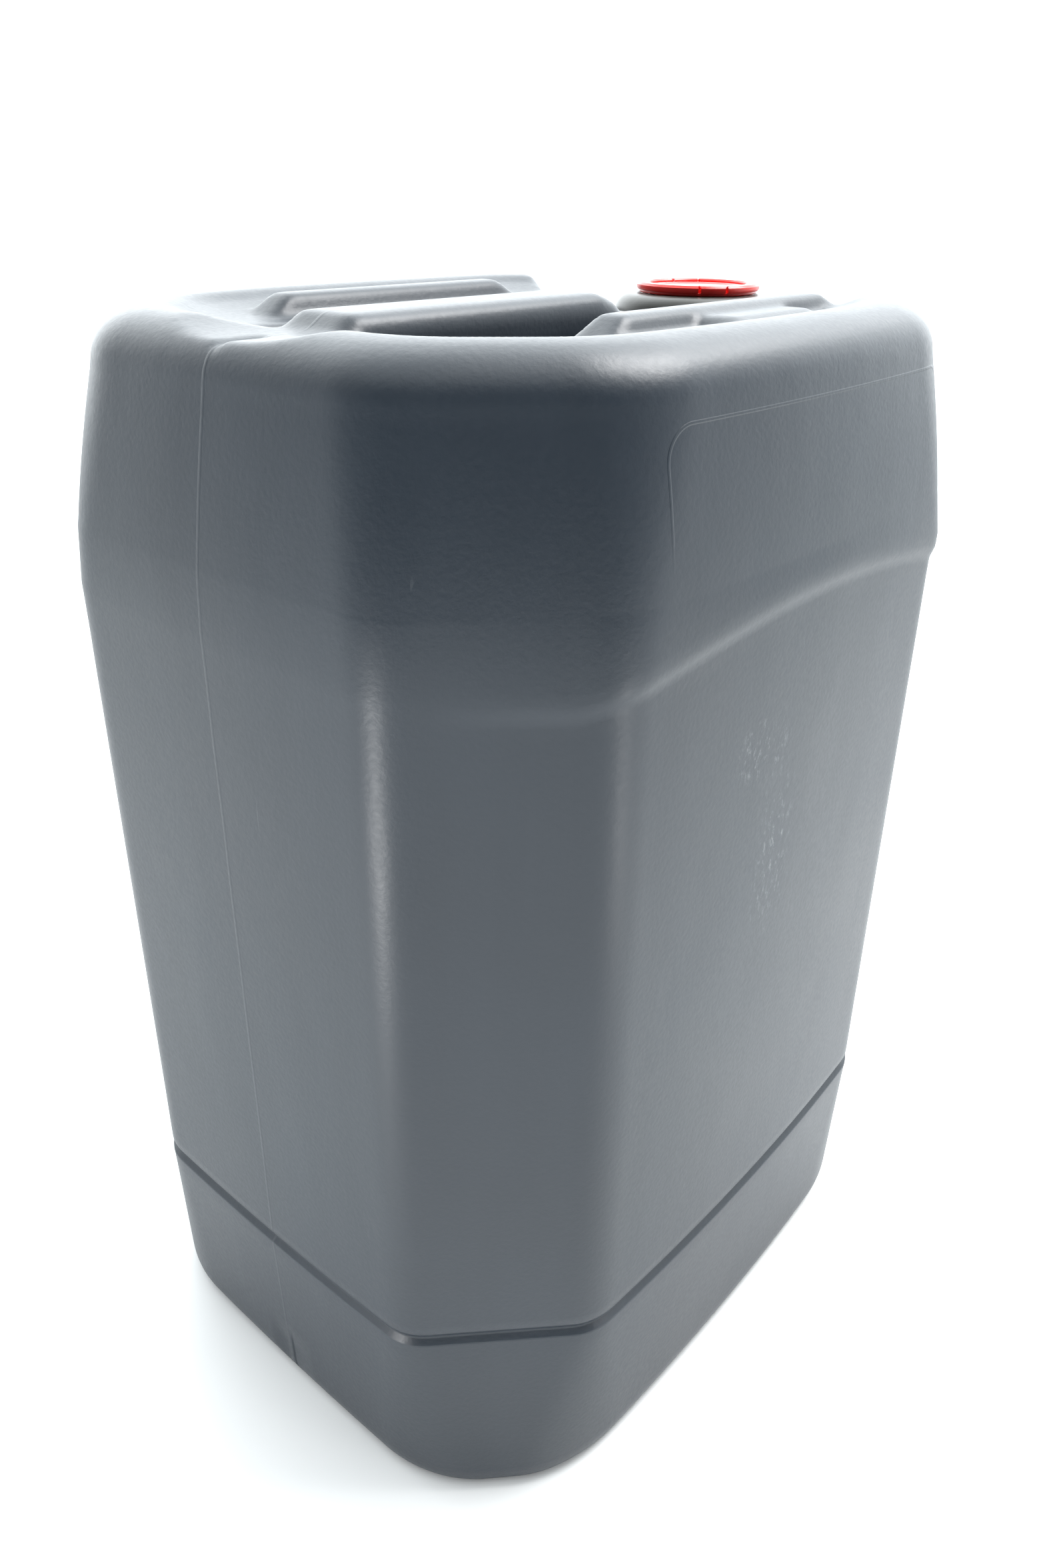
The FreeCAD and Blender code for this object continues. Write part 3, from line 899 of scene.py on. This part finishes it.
    def _rails(self) -> list[bmesh.types.BMesh]:
        """Two stacking rails, each with a lower pad on its outer flank."""
        made = []
        for side, start, end in ((-1, -0.037, 0.080), (1, -0.059, 0.044)):
            y = side * 0.0605
            rail = block((start - 0.021, y - 0.0105, 0.3905), (end + 0.021, y + 0.0105, 0.404),
                         (0.021, 0.005))
            round_edges(rail, 0.0018, 3)
            pad_y, pad_start = side * 0.074, start + 0.036
            pad = block((pad_start - 0.010, pad_y - 0.012, 0.3905), (pad_start + 0.058, pad_y + 0.012, 0.402),
                        (0.010, 0.006))
            round_edges(pad, 0.0018, 3)
            for part in (rail, pad):
                holder = piece("rail", part)
                combine(holder, piece("pocket", self._pocket()), "DIFFERENCE")
                trimmed = bmesh.new()
                trimmed.from_mesh(holder.data)
                bpy.data.objects.remove(holder)
                made.append(trimmed)
        return made

    def _soften(self, top: bpy.types.Object) -> None:
        """Melt the top's parts into one soft moulded skin."""
        melt = top.modifiers.new("melt", "REMESH")
        melt.mode = "VOXEL"
        melt.voxel_size = self.voxel * 1.0
        settle(top)
        bm = bmesh.new()
        bm.from_mesh(top.data)
        for _ in range(6):
            bmesh.ops.smooth_vert(bm, verts=bm.verts, factor=0.5, use_axis_x=True, use_axis_y=True,
                                  use_axis_z=True)
        bm.to_mesh(top.data)
        bm.free()

    def _wall_rings(self) -> list[tuple[Outline, Outline]]:
        """Rings from the floor up to where the moulded top joins on."""
        rings = []
        for step in range(8):
            turned = math.radians(90.0 * step / 7)
            inward = self.band_draft + self.base_draw * (1 - math.sin(turned))
            rings.append(self._ring(inward, self.base_round * (1 - math.cos(turned)), self.base_radius, 0.0,
                                    self.base_cut))
        low, high, depth = self.panel_low, self.panel_high, 0.0017
        for z in (0.020, 0.030, 0.040, 0.050, 0.060, 0.070):
            share = (self.groove - z) / (self.groove - self.base_round)
            radius = self.edge_radius + (self.base_radius - self.edge_radius) * share
            rings.append(self._ring(self.band_draft * share, z, radius, 0.0, self.base_cut * share))
        rings += [self._ring(inset, self.groove + rise) for inset, rise in (
            (0.0, -0.0034), (0.0001, -0.0022), (depth, -0.0010), (depth + 0.0001, 0.0008),
            (low + 0.0004, 0.0020), (low, 0.0032), (low, 0.0070))]
        rings += [self._ring(low + (high - low) * (z - self.groove) / (self.crease - self.groove), z)
                  for z in (0.110, 0.150, 0.190, 0.230, 0.265, 0.290)]
        lift = lambda angle, share: self._crease_z(angle) + share * 0.0035
        step_in = lambda angle, share: high + (self.upper_inset - high) * share * self._side_share(angle)
        for share, rise in ((0.0, -2.2), (0.0, -0.6), (0.06, -0.15), (0.5, 0.4), (0.94, 0.95), (1.0, 1.4),
                            (1.0, 2.4)):
            rings.append(self._ring(lambda angle, s=share: step_in(angle, s),
                                    lambda angle, r=rise: lift(angle, r)))
        return rings

    def _join_to_walls(self, top: bpy.types.Object) -> bpy.types.Object:
        """Cut the moulded top open below and bridge it to the ring-built walls."""
        bm = bmesh.new()
        bm.from_mesh(top.data)
        bmesh.ops.bisect_plane(bm, geom=bm.verts[:] + bm.edges[:] + bm.faces[:], plane_co=(0, 0, self.join),
                               plane_no=(0, 0, 1), clear_inner=True)
        below_join = (self.join - 0.0015 - self.upper_start) / self.upper_height
        spread = even_angles(lambda angle: self.plan.reach(angle, 0.0, self.edge_radius), self.ring_count)
        walls = stack_rings(self._wall_rings() + [self._upper(below_join)], spread, Vector(), cap_top=False)
        holder = piece("walls", walls)
        bm.from_mesh(holder.data)
        bpy.data.objects.remove(holder)
        open_edges = [edge for edge in bm.edges if edge.is_boundary]
        bmesh.ops.bridge_loops(bm, edges=open_edges)
        bmesh.ops.recalc_face_normals(bm, faces=bm.faces)
        bm.to_mesh(top.data)
        bm.free()
        return top

    def _channel(self) -> bmesh.types.BMesh:
        """The shallow channel across the bottom."""
        start, end, depth = self.channel
        bm = block((start, -0.130, -0.010), (end, 0.130, depth), (0.0, 0.0))
        round_edges(bm, 0.0012, 3)
        return bm

    def _neck(self) -> bmesh.types.BMesh:
        """Solid neck with its foot fillet, tamper bead and helical thread."""
        r = self.neck_radius
        profile = ((0.0, 0.360), (r + 0.004, 0.360), (r + 0.004, 0.3695), (r + 0.0012, 0.3705), (r, 0.3725),
                   (r, 0.3778), (r + 0.0013, 0.3779), (r + 0.0013, 0.3784), (r, 0.3795),
                   (r, self.neck_top - 0.0006), (r - 0.0006, self.neck_top), (0.0, self.neck_top))
        bm = lathe(profile, self.neck, 128)
        ridge = bmesh.new()
        corners = ((-0.0010, -0.0014), (0.0003, -0.0012), (0.0012, -0.0004), (0.0012, 0.0004),
                   (0.0003, 0.0012), (-0.0010, 0.0014))
        low = 0.3815
        section = [ridge.verts.new((self.neck.x + r + dr, 0, low + dz)) for dr, dz in corners]
        face = ridge.faces.new(section)
        turns, pitch, steps = 2.1, 0.005, 180
        bmesh.ops.spin(ridge, geom=[face] + face.edges[:] + face.verts[:], cent=self.neck, axis=(0, 0, 1),
                       dvec=(0, 0, pitch * turns / steps), angle=2 * math.pi * turns, steps=steps)
        bmesh.ops.remove_doubles(ridge, verts=ridge.verts, dist=1e-7)
        bmesh.ops.recalc_face_normals(ridge, faces=ridge.faces)
        base, coil = piece("neck", bm), piece("thread", ridge)
        combine(base, coil, "UNION")
        joined = bmesh.new()
        joined.from_mesh(base.data)
        bpy.data.objects.remove(base)
        return joined

    def _inside(self) -> bpy.types.Object:
        """The hollow, with the bore of the neck open into it."""
        depth = self.wall
        levels = ((0.012, depth), (0.0045, 0.009), (depth, 0.016), (depth, 0.310), (0.006, 0.330),
                  (0.012, 0.346))
        rings = [self._ring(inset + 0.0012, z) for inset, z in levels]
        hollow = piece("hollow", stack_rings(rings, circle_angles(96), Vector()))
        bore = bmesh.new()
        low, high = 0.340, 0.400
        bmesh.ops.create_cone(bore, cap_ends=True, segments=96, radius1=self.bore, radius2=self.bore,
                              depth=high - low, matrix=Matrix.Translation((self.neck.x, 0, (low + high) / 2)))
        combine(hollow, piece("bore", bore), "UNION")
        return hollow


# ---------------------------------------------------------------- the closure

@dataclass
class Closure:
    """Screw cap, tamper band, seal and the folding pouring spout with its red cap."""

    finishes: Finishes
    centre: Vector = field(default_factory=lambda: Vector((0.100, 0.0, 0.0)))
    cap_radius: float = 0.034
    cap_low: float = 0.378
    cap_top: float = 0.3996
    hole: float = 0.0226
    ribs: int = 60
    steps: int = 480
    red_radius: float = 0.024
    red_top: float = 0.4034
    rim: float = 0.0026
    bail_width: float = 0.0046
    tab_turn: float = math.radians(-42.0)
    tab_half: float = 0.0048
    gap: float = 0.0003
    barrel: float = 0.0007

    def screw_cap(self) -> bpy.types.Object:
        """Black cap: ribbed skirt, rounded shoulder, plate with a round hole."""
        r, top = self.cap_radius, self.cap_top
        profile = [(0.0299, self.cap_low), (r - 0.0004, self.cap_low), (r, self.cap_low + 0.0004)]
        profile += [(r, self.cap_low + 0.0004 + 0.011 * share / 5) for share in range(1, 6)]
        profile += [(r - 0.0002, top - 0.0096), (r - 0.0012, top - 0.0088)]
        for step in range(1, 9):
            turned = math.radians(90.0 * step / 8)
            profile.append((r - 0.0014 - 0.0070 * (1 - math.cos(turned)),
                            top - 0.0070 + 0.0070 * math.sin(turned)))
        profile += [(self.hole + 0.0006, top), (self.hole, top - 0.0005), (self.hole, top - 0.0022),
                    (0.0299, top - 0.0022)]
        bm = lathe(profile, self.centre, self.steps)
        for vert in bm.verts:
            out = vert.co - self.centre
            reach = math.hypot(out.x, out.y)
            if reach > r - 0.00035 and vert.co.z < top - 0.0094:
                wave = 0.5 - 0.5 * math.cos(self.ribs * math.atan2(out.y, out.x))
                depth = 0.0007 * wave ** 0.7
                share = (reach - depth) / reach
                vert.co = Vector((self.centre.x + out.x * share, out.y * share, vert.co.z))
        return self._done("cap_black", bm, self.finishes.black, "cap", "screw_cap", "black_plastic")

    def tamper_band(self) -> bpy.types.Object:
        """Break-off ring under the cap, with its row of thin bridges."""
        r = self.cap_radius
        low, high = 0.3714, 0.3773
        profile = ((0.02755, low + 0.0024), (0.0299, low), (r - 0.0005, low), (r, low + 0.0005),
                   (r, high - 0.0004),
                   (r - 0.0004, high), (0.0299, high), (0.02755, high - 0.001))
        bm = lathe(profile, self.centre, 192, 0.00012, 1)
        for turn in range(16):
            angle = 2 * math.pi * turn / 16
            stub = block((r - 0.0022, -0.0008, high - 0.0003), (r - 0.0006, 0.0008, self.cap_low - 0.00005))
            bmesh.ops.rotate(stub, verts=stub.verts, cent=(0, 0, 0), matrix=Matrix.Rotation(angle, 3, "Z"))
            bmesh.ops.translate(stub, verts=stub.verts, vec=self.centre)
            holder = bpy.data.meshes.new("stub")
            stub.to_mesh(holder)
            stub.free()
            bm.from_mesh(holder)
            bpy.data.meshes.remove(holder)
        return self._done("tamper_ring", bm, self.finishes.black, "canister", "tamper_band", "black_plastic")

    def gasket(self) -> bpy.types.Object:
        """Flat sealing ring with one raised bead."""
        low = 0.3955
        profile = ((0.0246, low), (0.0288, low), (0.0288, low + 0.0008), (0.0273, low + 0.0008),
                   (0.0270, low + 0.0009),
                   (0.0267, low + 0.0008), (0.0246, low + 0.0008))
        bm = lathe(profile, self.centre, 128, 0.00008, 1)
        return self._done("seal_ring", bm, self.finishes.rubber, "seal", "neck_gasket", "seal_rubber")

    def flange(self) -> bpy.types.Object:
        """Flat flange that the screw cap clamps."""
        low, high = 0.3964, self.cap_top - 0.0022
        profile = ((0.0204, low), (0.0294, low), (0.0294, high), (self.hole - 0.0003, high),
                   (self.hole - 0.0003, self.cap_top - 0.0004), (0.0204, self.cap_top - 0.0004))
        bm = lathe(profile, self.centre, 144, 0.0002, 2)
        return self._done("spout_collar", bm, self.finishes.natural, "spout_base", "spout_flange",
                          "natural_plastic")

    def bellows(self) -> bpy.types.Object:
        """Thin wall folded down inside the neck, built in its rest shape; the real one turns inside out when
        the nozzle is pulled.
        """
        high, low, outer, inner = 0.3986, 0.378, 0.0204, 0.0140
        line = [(outer - 0.0006, high - (high - low - 0.0016) * step / 14) for step in range(15)]
        for step in range(1, 8):
            turned = math.radians(180.0 * step / 7)
            middle, half = (outer - 0.0006 + inner + 0.0007) / 2, (outer - inner - 0.0013) / 2
            line.append((middle + half * math.cos(turned), low + 0.0016 - 0.0010 * math.sin(turned)))
        bm = bmesh.new()
        verts = [bm.verts.new((self.centre.x + r, 0, z)) for r, z in line]
        for first, second in zip(verts, verts[1:]):
            bm.edges.new((first, second))
        bmesh.ops.spin(bm, geom=bm.verts[:] + bm.edges[:], cent=self.centre, axis=(0, 0, 1),
                       angle=2 * math.pi,
                       steps=96, use_merge=True)
        bmesh.ops.remove_doubles(bm, verts=bm.verts, dist=1e-6)
        bmesh.ops.recalc_face_normals(bm, faces=bm.faces)
        bmesh.ops.solidify(bm, geom=bm.faces[:], thickness=0.0009)
        bmesh.ops.recalc_face_normals(bm, faces=bm.faces)
        made = piece("spout_fold", bm, self.finishes.natural)
        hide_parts("spout_bellows")
        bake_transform(made)
        LOG.info("spout_fold blends from spout_base to nozzle")
        return made

    def nozzle(self) -> bpy.types.Object:
        """Pouring nozzle with two thread turns for the red cap."""
        r, top, low = 0.0140, 0.3992, 0.378
        profile = [(0.0118, low), (r, low)]
        for turn in (1, 0):
            z = top - 0.0036 - turn * 0.0034
            profile += [(r, z - 0.0010), (r + 0.0008, z - 0.0002), (r + 0.0008, z + 0.0002), (r, z + 0.0010)]
        profile += [(r, top), (0.0118, top)]
        bm = lathe(profile, self.centre, 128, 0.0002, 2)
        return self._done("spout_tube", bm, self.finishes.natural, "nozzle", "spout_nozzle",
                          "natural_plastic")

    def liner(self) -> bpy.types.Object:
        """Sealing disc inside the red cap, with one embossed ring."""
        low = 0.3992
        profile = ((0.0, low), (0.0100, low), (0.0103, low + 0.0001), (0.0106, low), (0.0140, low),
                   (0.0140, low + 0.0005), (0.0, low + 0.0005))
        bm = lathe(profile, self.centre, 96, 0.0001, 1)
        return self._done("cap_liner", bm, self.finishes.rubber, "liner", "spout_cap_liner", "seal_rubber")

    def red_cap(self) -> bpy.types.Object:
        """Red disc with a skirt below and the two hinge tabs of the rim."""
        low, inner = self.red_top - self.rim, self.red_radius - self.bail_width
        rise = 0.0015
        profile = ((0.0, low + rise - 0.0005), (inner - 0.0034, low + rise - 0.0005),
                   (inner - 0.0026, low + rise),
                   (inner - 0.0006, low + rise), (inner - 0.0004, low), (0.0228, low), (0.0228, low - 0.0010),
                   (0.0159, low - 0.0010), (0.0159, 0.386), (0.0151, 0.386), (0.0151, 0.3997), (0.0, 0.3997))
        disc = piece("disc", lathe(profile, self.centre, 192, 0.00022, 2))
        for turned in (0.0, math.pi):
            tab = self._rim_part(turned + math.pi / 2, self.tab_half)
            combine(disc, piece("tab", tab), "UNION")
        bm = bmesh.new()
        bm.from_mesh(disc.data)
        bpy.data.objects.remove(disc)
        return self._done("spout_cap_red", bm, self.finishes.red, "red_cap", "spout_cap", "red_plastic")

    def _rim_profile(self) -> tuple[tuple[float, float], ...]:
        """Section of the red cap's raised rim."""
        low, inner = self.red_top - self.rim, self.red_radius - self.bail_width
        return ((inner + 0.0004, low), (self.red_radius - 0.0004, low), (self.red_radius, low + 0.0006),
                (self.red_radius, self.red_top - 0.0008), (self.red_radius - 0.0008, self.red_top),
                (inner + 0.0006, self.red_top), (inner, self.red_top - 0.0006), (inner, low + 0.0004))

    def _arc(self, start: float, end: float, steps: int) -> bmesh.types.BMesh:
        """Part of the rim between two directions, its ends closed."""
        bm = bmesh.new()
        verts = [bm.verts.new((self.centre.x + r, 0, z)) for r, z in self._rim_profile()]
        face = bm.faces.new(verts)
        bmesh.ops.rotate(bm, verts=verts, cent=self.centre, matrix=Matrix.Rotation(start, 3, "Z"))
        bmesh.ops.spin(bm, geom=[face] + face.edges[:] + face.verts[:], cent=self.centre, axis=(0, 0, 1),
                       angle=end - start, steps=steps)
        bmesh.ops.remove_doubles(bm, verts=bm.verts, dist=1e-7)
        bmesh.ops.recalc_face_normals(bm, faces=bm.faces)
        return bm

    def _rim_part(self, middle: float, half_width: float) -> bmesh.types.BMesh:
        """A tab of the rim with flat parallel flanks."""
        turn = self.tab_turn + middle
        spread = math.asin(half_width / self.red_radius)
        bm = self._arc(turn - 2 * spread, turn + 2 * spread, 24)
        flank = Vector((-math.sin(turn), math.cos(turn), 0))
        for side in (-1, 1):
            self._trim(bm, self.centre + side * half_width * flank, side * flank)
        inward = block((self.red_radius - self.bail_width - 0.0012, -half_width, self.red_top - self.rim),
                       (self.red_radius - self.bail_width + 0.0010, half_width,
                         self.red_top - self.rim + 0.0015))
        bmesh.ops.rotate(inward, verts=inward.verts, cent=(0, 0, 0), matrix=Matrix.Rotation(turn, 3, "Z"))
        bmesh.ops.translate(inward, verts=inward.verts, vec=self.centre)
        tab, root = piece("tab", bm), piece("root", inward)
        combine(tab, root, "UNION")
        joined = bmesh.new()
        joined.from_mesh(tab.data)
        bpy.data.objects.remove(tab)
        return joined

    @staticmethod
    def _trim(bm: bmesh.types.BMesh, spot: Vector, outward: Vector) -> None:
        """Cut a mesh off beyond a plane and close the cut."""
        cut = bmesh.ops.bisect_plane(bm, geom=bm.verts[:] + bm.edges[:] + bm.faces[:], plane_co=spot,
                                     plane_no=outward, clear_outer=True)
        edges = [part for part in cut["geom_cut"] if isinstance(part, bmesh.types.BMEdge)]
        bmesh.ops.contextual_create(bm, geom=edges)
        bmesh.ops.recalc_face_normals(bm, faces=bm.faces)

    def bail(self, right: bool) -> bpy.types.Object:
        """One half-ring pull, with the round barrels it turns on.

        Args:
            right: the pull nearer the long side on the right.

        Returns:
            The finished object.
        """
        turn = self.tab_turn + (0 if right else math.pi)
        outward = Vector((math.cos(turn), math.sin(turn), 0))
        axis_at = self.tab_half + self.gap + self.barrel
        bm = self._arc(turn - math.pi / 2, turn + math.pi / 2, 96)
        self._trim(bm, self.centre + axis_at * outward, -outward)
        half = piece("half", bm)
        inner, outer = self.red_radius - self.bail_width + 0.0005, self.red_radius - 0.0007
        for side in (-1, 1):
            near, far = math.sqrt(inner ** 2 - axis_at ** 2), math.sqrt(outer ** 2 - axis_at ** 2)
            barrel = bmesh.new()
            bmesh.ops.create_cone(barrel, cap_ends=True, segments=32, radius1=self.barrel,
                                  radius2=self.barrel,
                                  depth=far - near, matrix=Matrix.Rotation(math.pi / 2, 4, "X"))
            bmesh.ops.translate(barrel, verts=barrel.verts,
                                vec=(axis_at, side * (near + far) / 2, self.red_top - self.barrel))
            bmesh.ops.rotate(barrel, verts=barrel.verts, cent=(0, 0, 0), matrix=Matrix.Rotation(turn, 3, "Z"))
            bmesh.ops.translate(barrel, verts=barrel.verts, vec=self.centre)
            combine(half, piece("barrel", barrel), "UNION")
        made = bmesh.new()
        made.from_mesh(half.data)
        bpy.data.objects.remove(half)
        name = "pull_right" if right else "pull_left"
        body, node = ("right_bail", "bail_right") if right else ("left_bail", "bail_left")
        return self._done(name, made, self.finishes.red, body, node, "red_plastic")

    @staticmethod
    def _done(name: str, bm: bmesh.types.BMesh, finish: bpy.types.Material, body: str, node: str,
              slot: str) -> bpy.types.Object:
        """Dress a piece, hang it on its body and put it in its node's place."""
        made = piece(name, bm, finish)
        made.data.materials.clear()
        made.data.materials.append(finish)
        made.data.set_sharp_from_angle(angle=math.radians(38))
        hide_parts(node)
        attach(made, body)
        LOG.info("%s rides on %s", name, body)
        return made

    def build(self) -> None:
        """Make every piece of the closure."""
        self.tamper_band()
        self.screw_cap()
        self.gasket()
        self.flange()
        self.bellows()
        self.nozzle()
        self.liner()
        self.red_cap()
        self.bail(True)
        self.bail(False)


# ---------------------------------------------------------------- the studio

@dataclass(frozen=True)
class SoftBox:
    """A rectangular soft light, placed by its direction from the target."""

    name: str
    azimuth: float
    elevation: float
    distance: float
    size: tuple[float, float]
    power: float
    target: tuple[float, float, float]

    def build(self) -> bpy.types.Object:
        """Make the light and face it to its target.

        Returns:
            The light's object.
        """
        turn, rise = math.radians(self.azimuth), math.radians(self.elevation)
        way = Vector((math.cos(turn) * math.cos(rise), math.sin(turn) * math.cos(rise), math.sin(rise)))
        lamp = bpy.data.lights.new(self.name, "AREA")
        lamp.shape = "RECTANGLE"
        lamp.size, lamp.size_y = self.size
        lamp.energy = self.power
        made = bpy.data.objects.new(self.name, lamp)
        made.location = Vector(self.target) + self.distance * way
        made.rotation_euler = (-way).to_track_quat("-Z", "Y").to_euler()
        bpy.context.scene.collection.objects.link(made)
        return made


@dataclass
class Studio:
    """Pale floor, soft lights and the camera."""

    paper: bpy.types.Material
    boxes: tuple[SoftBox, ...] = (
        SoftBox("left_strip", 177.0, -29.0, 0.40, (0.085, 0.12), 0.75, (-0.141, -0.074, 0.300)),
        SoftBox("right_strip", 280.0, -29.0, 0.40, (0.060, 0.12), 0.20, (-0.090, -0.118, 0.315)),
        SoftBox("deck_box", 325.0, 55.0, 1.00, (0.6, 0.6), 16.0, (0.0, 0.0, 0.40)))
    floor_size: float = 8.0
    sky_colour: tuple[float, ...] = (0.93, 0.98, 1.0, 1.0)
    sky: float = 0.80
    glow: float = 3.6
    zenith: float = 1.3
    dim_sky: float = 0.02
    backdrop: float = 1.15
    dim_side: float = 222.0
    camera_at: tuple[float, float, float] = (-0.3180, -0.2710, 0.4348)
    heading: float = 40.71
    pitch: float = 27.38
    roll: float = 0.62
    lens: float = 26.31
    film: float = 36.0

    def build(self) -> None:
        """Make the floor, the lights, the world and the camera."""
        self._floor()
        self._world()
        for box in self.boxes:
            box.build()
        self._camera()
        bpy.context.scene.view_settings.view_transform = "Standard"

    def _floor(self) -> None:
        """A large sheet of paper at z = 0."""
        bm = bmesh.new()
        bmesh.ops.create_grid(bm, x_segments=1, y_segments=1, size=self.floor_size)
        made = piece("studio_floor", bm, self.paper)

    def _world(self) -> None:
        """White surroundings that are dim on the side that the cut corner faces."""
        world = bpy.data.worlds.new("studio")
        world.use_nodes = True
        bench = NodeBench(world.node_tree)
        way = bench.node("ShaderNodeTexCoord", {}, {}, "Generated")
        up = bench.node("ShaderNodeSeparateXYZ", {}, {"Vector": way}, "Z")
        dim = self._toward(bench, way, self.dim_side).fade(0.05, 0.58) * abs(up).fade(0.95, 0.60)
        glow = self._toward(bench, way, self.dim_side + 180.0).fade(0.1, 0.8) * self.glow
        light = self.sky + glow + up.fade(0.5, 1.0) * self.zenith
        seen = bench.node("ShaderNodeLightPath", {}, {}, "Is Camera Ray")
        strength = (light - (light - self.dim_sky) * dim).most(seen * self.backdrop)
        background = bench.node("ShaderNodeBackground", {}, {"Color": self.sky_colour, "Strength": strength})
        output = world.node_tree.nodes.new("ShaderNodeOutputWorld")
        world.node_tree.links.new(background.socket, output.inputs["Surface"])
        bpy.context.scene.world = world

    @staticmethod
    def _toward(bench: NodeBench, way: Signal, azimuth: float) -> Signal:
        """How far a direction points to an azimuth, from -1 to 1.

        Args:
            bench: the world's tree.
            way: the direction.
            azimuth: degrees from +X towards +Y.

        Returns:
            The cosine of the angle between them.
        """
        turn = math.radians(azimuth)
        return bench.node("ShaderNodeVectorMath", {"operation": "DOT_PRODUCT"},
                          {0: way, 1: (math.cos(turn), math.sin(turn), 0.0)}, "Value")

    def _camera(self) -> None:
        """The camera, from its heading, downward pitch and roll."""
        data = bpy.data.cameras.new("camera")
        data.sensor_width = self.film
        data.sensor_height = self.film
        data.sensor_fit = "VERTICAL"
        data.lens = self.lens
        data.clip_start = 0.01
        made = bpy.data.objects.new("camera", data)
        heading, pitch, roll = (math.radians(value) for value in (self.heading, self.pitch, self.roll))
        forward = Vector((math.cos(heading) * math.cos(pitch), math.sin(heading) * math.cos(pitch),
                          -math.sin(pitch)))
        side = forward.cross(Vector((0, 0, 1))).normalized()
        up = side.cross(forward)
        turned_side = math.cos(roll) * side + math.sin(roll) * up
        turned_up = math.cos(roll) * up - math.sin(roll) * side
        turned = Matrix((turned_side, turned_up, -forward)).transposed().to_4x4()
        made.matrix_world = Matrix.Translation(self.camera_at) @ turned
        bpy.context.scene.collection.objects.link(made)
        bpy.context.scene.camera = made


def main() -> None:
    """Load the frame, build and dress every piece, and log the shell's face count."""
    logging.basicConfig(level=logging.INFO, format="%(name)s: %(message)s")
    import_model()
    finishes = Finishes.make()
    shell = Canister(finishes.canister).build()
    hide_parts("canister_body")
    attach(shell, "canister")
    LOG.info("canister_shell: %d faces, rides on canister", len(shell.data.polygons))
    Closure(finishes).build()
    Studio(StudioPaper().make()).build()


if __name__ == "__main__":
    main()
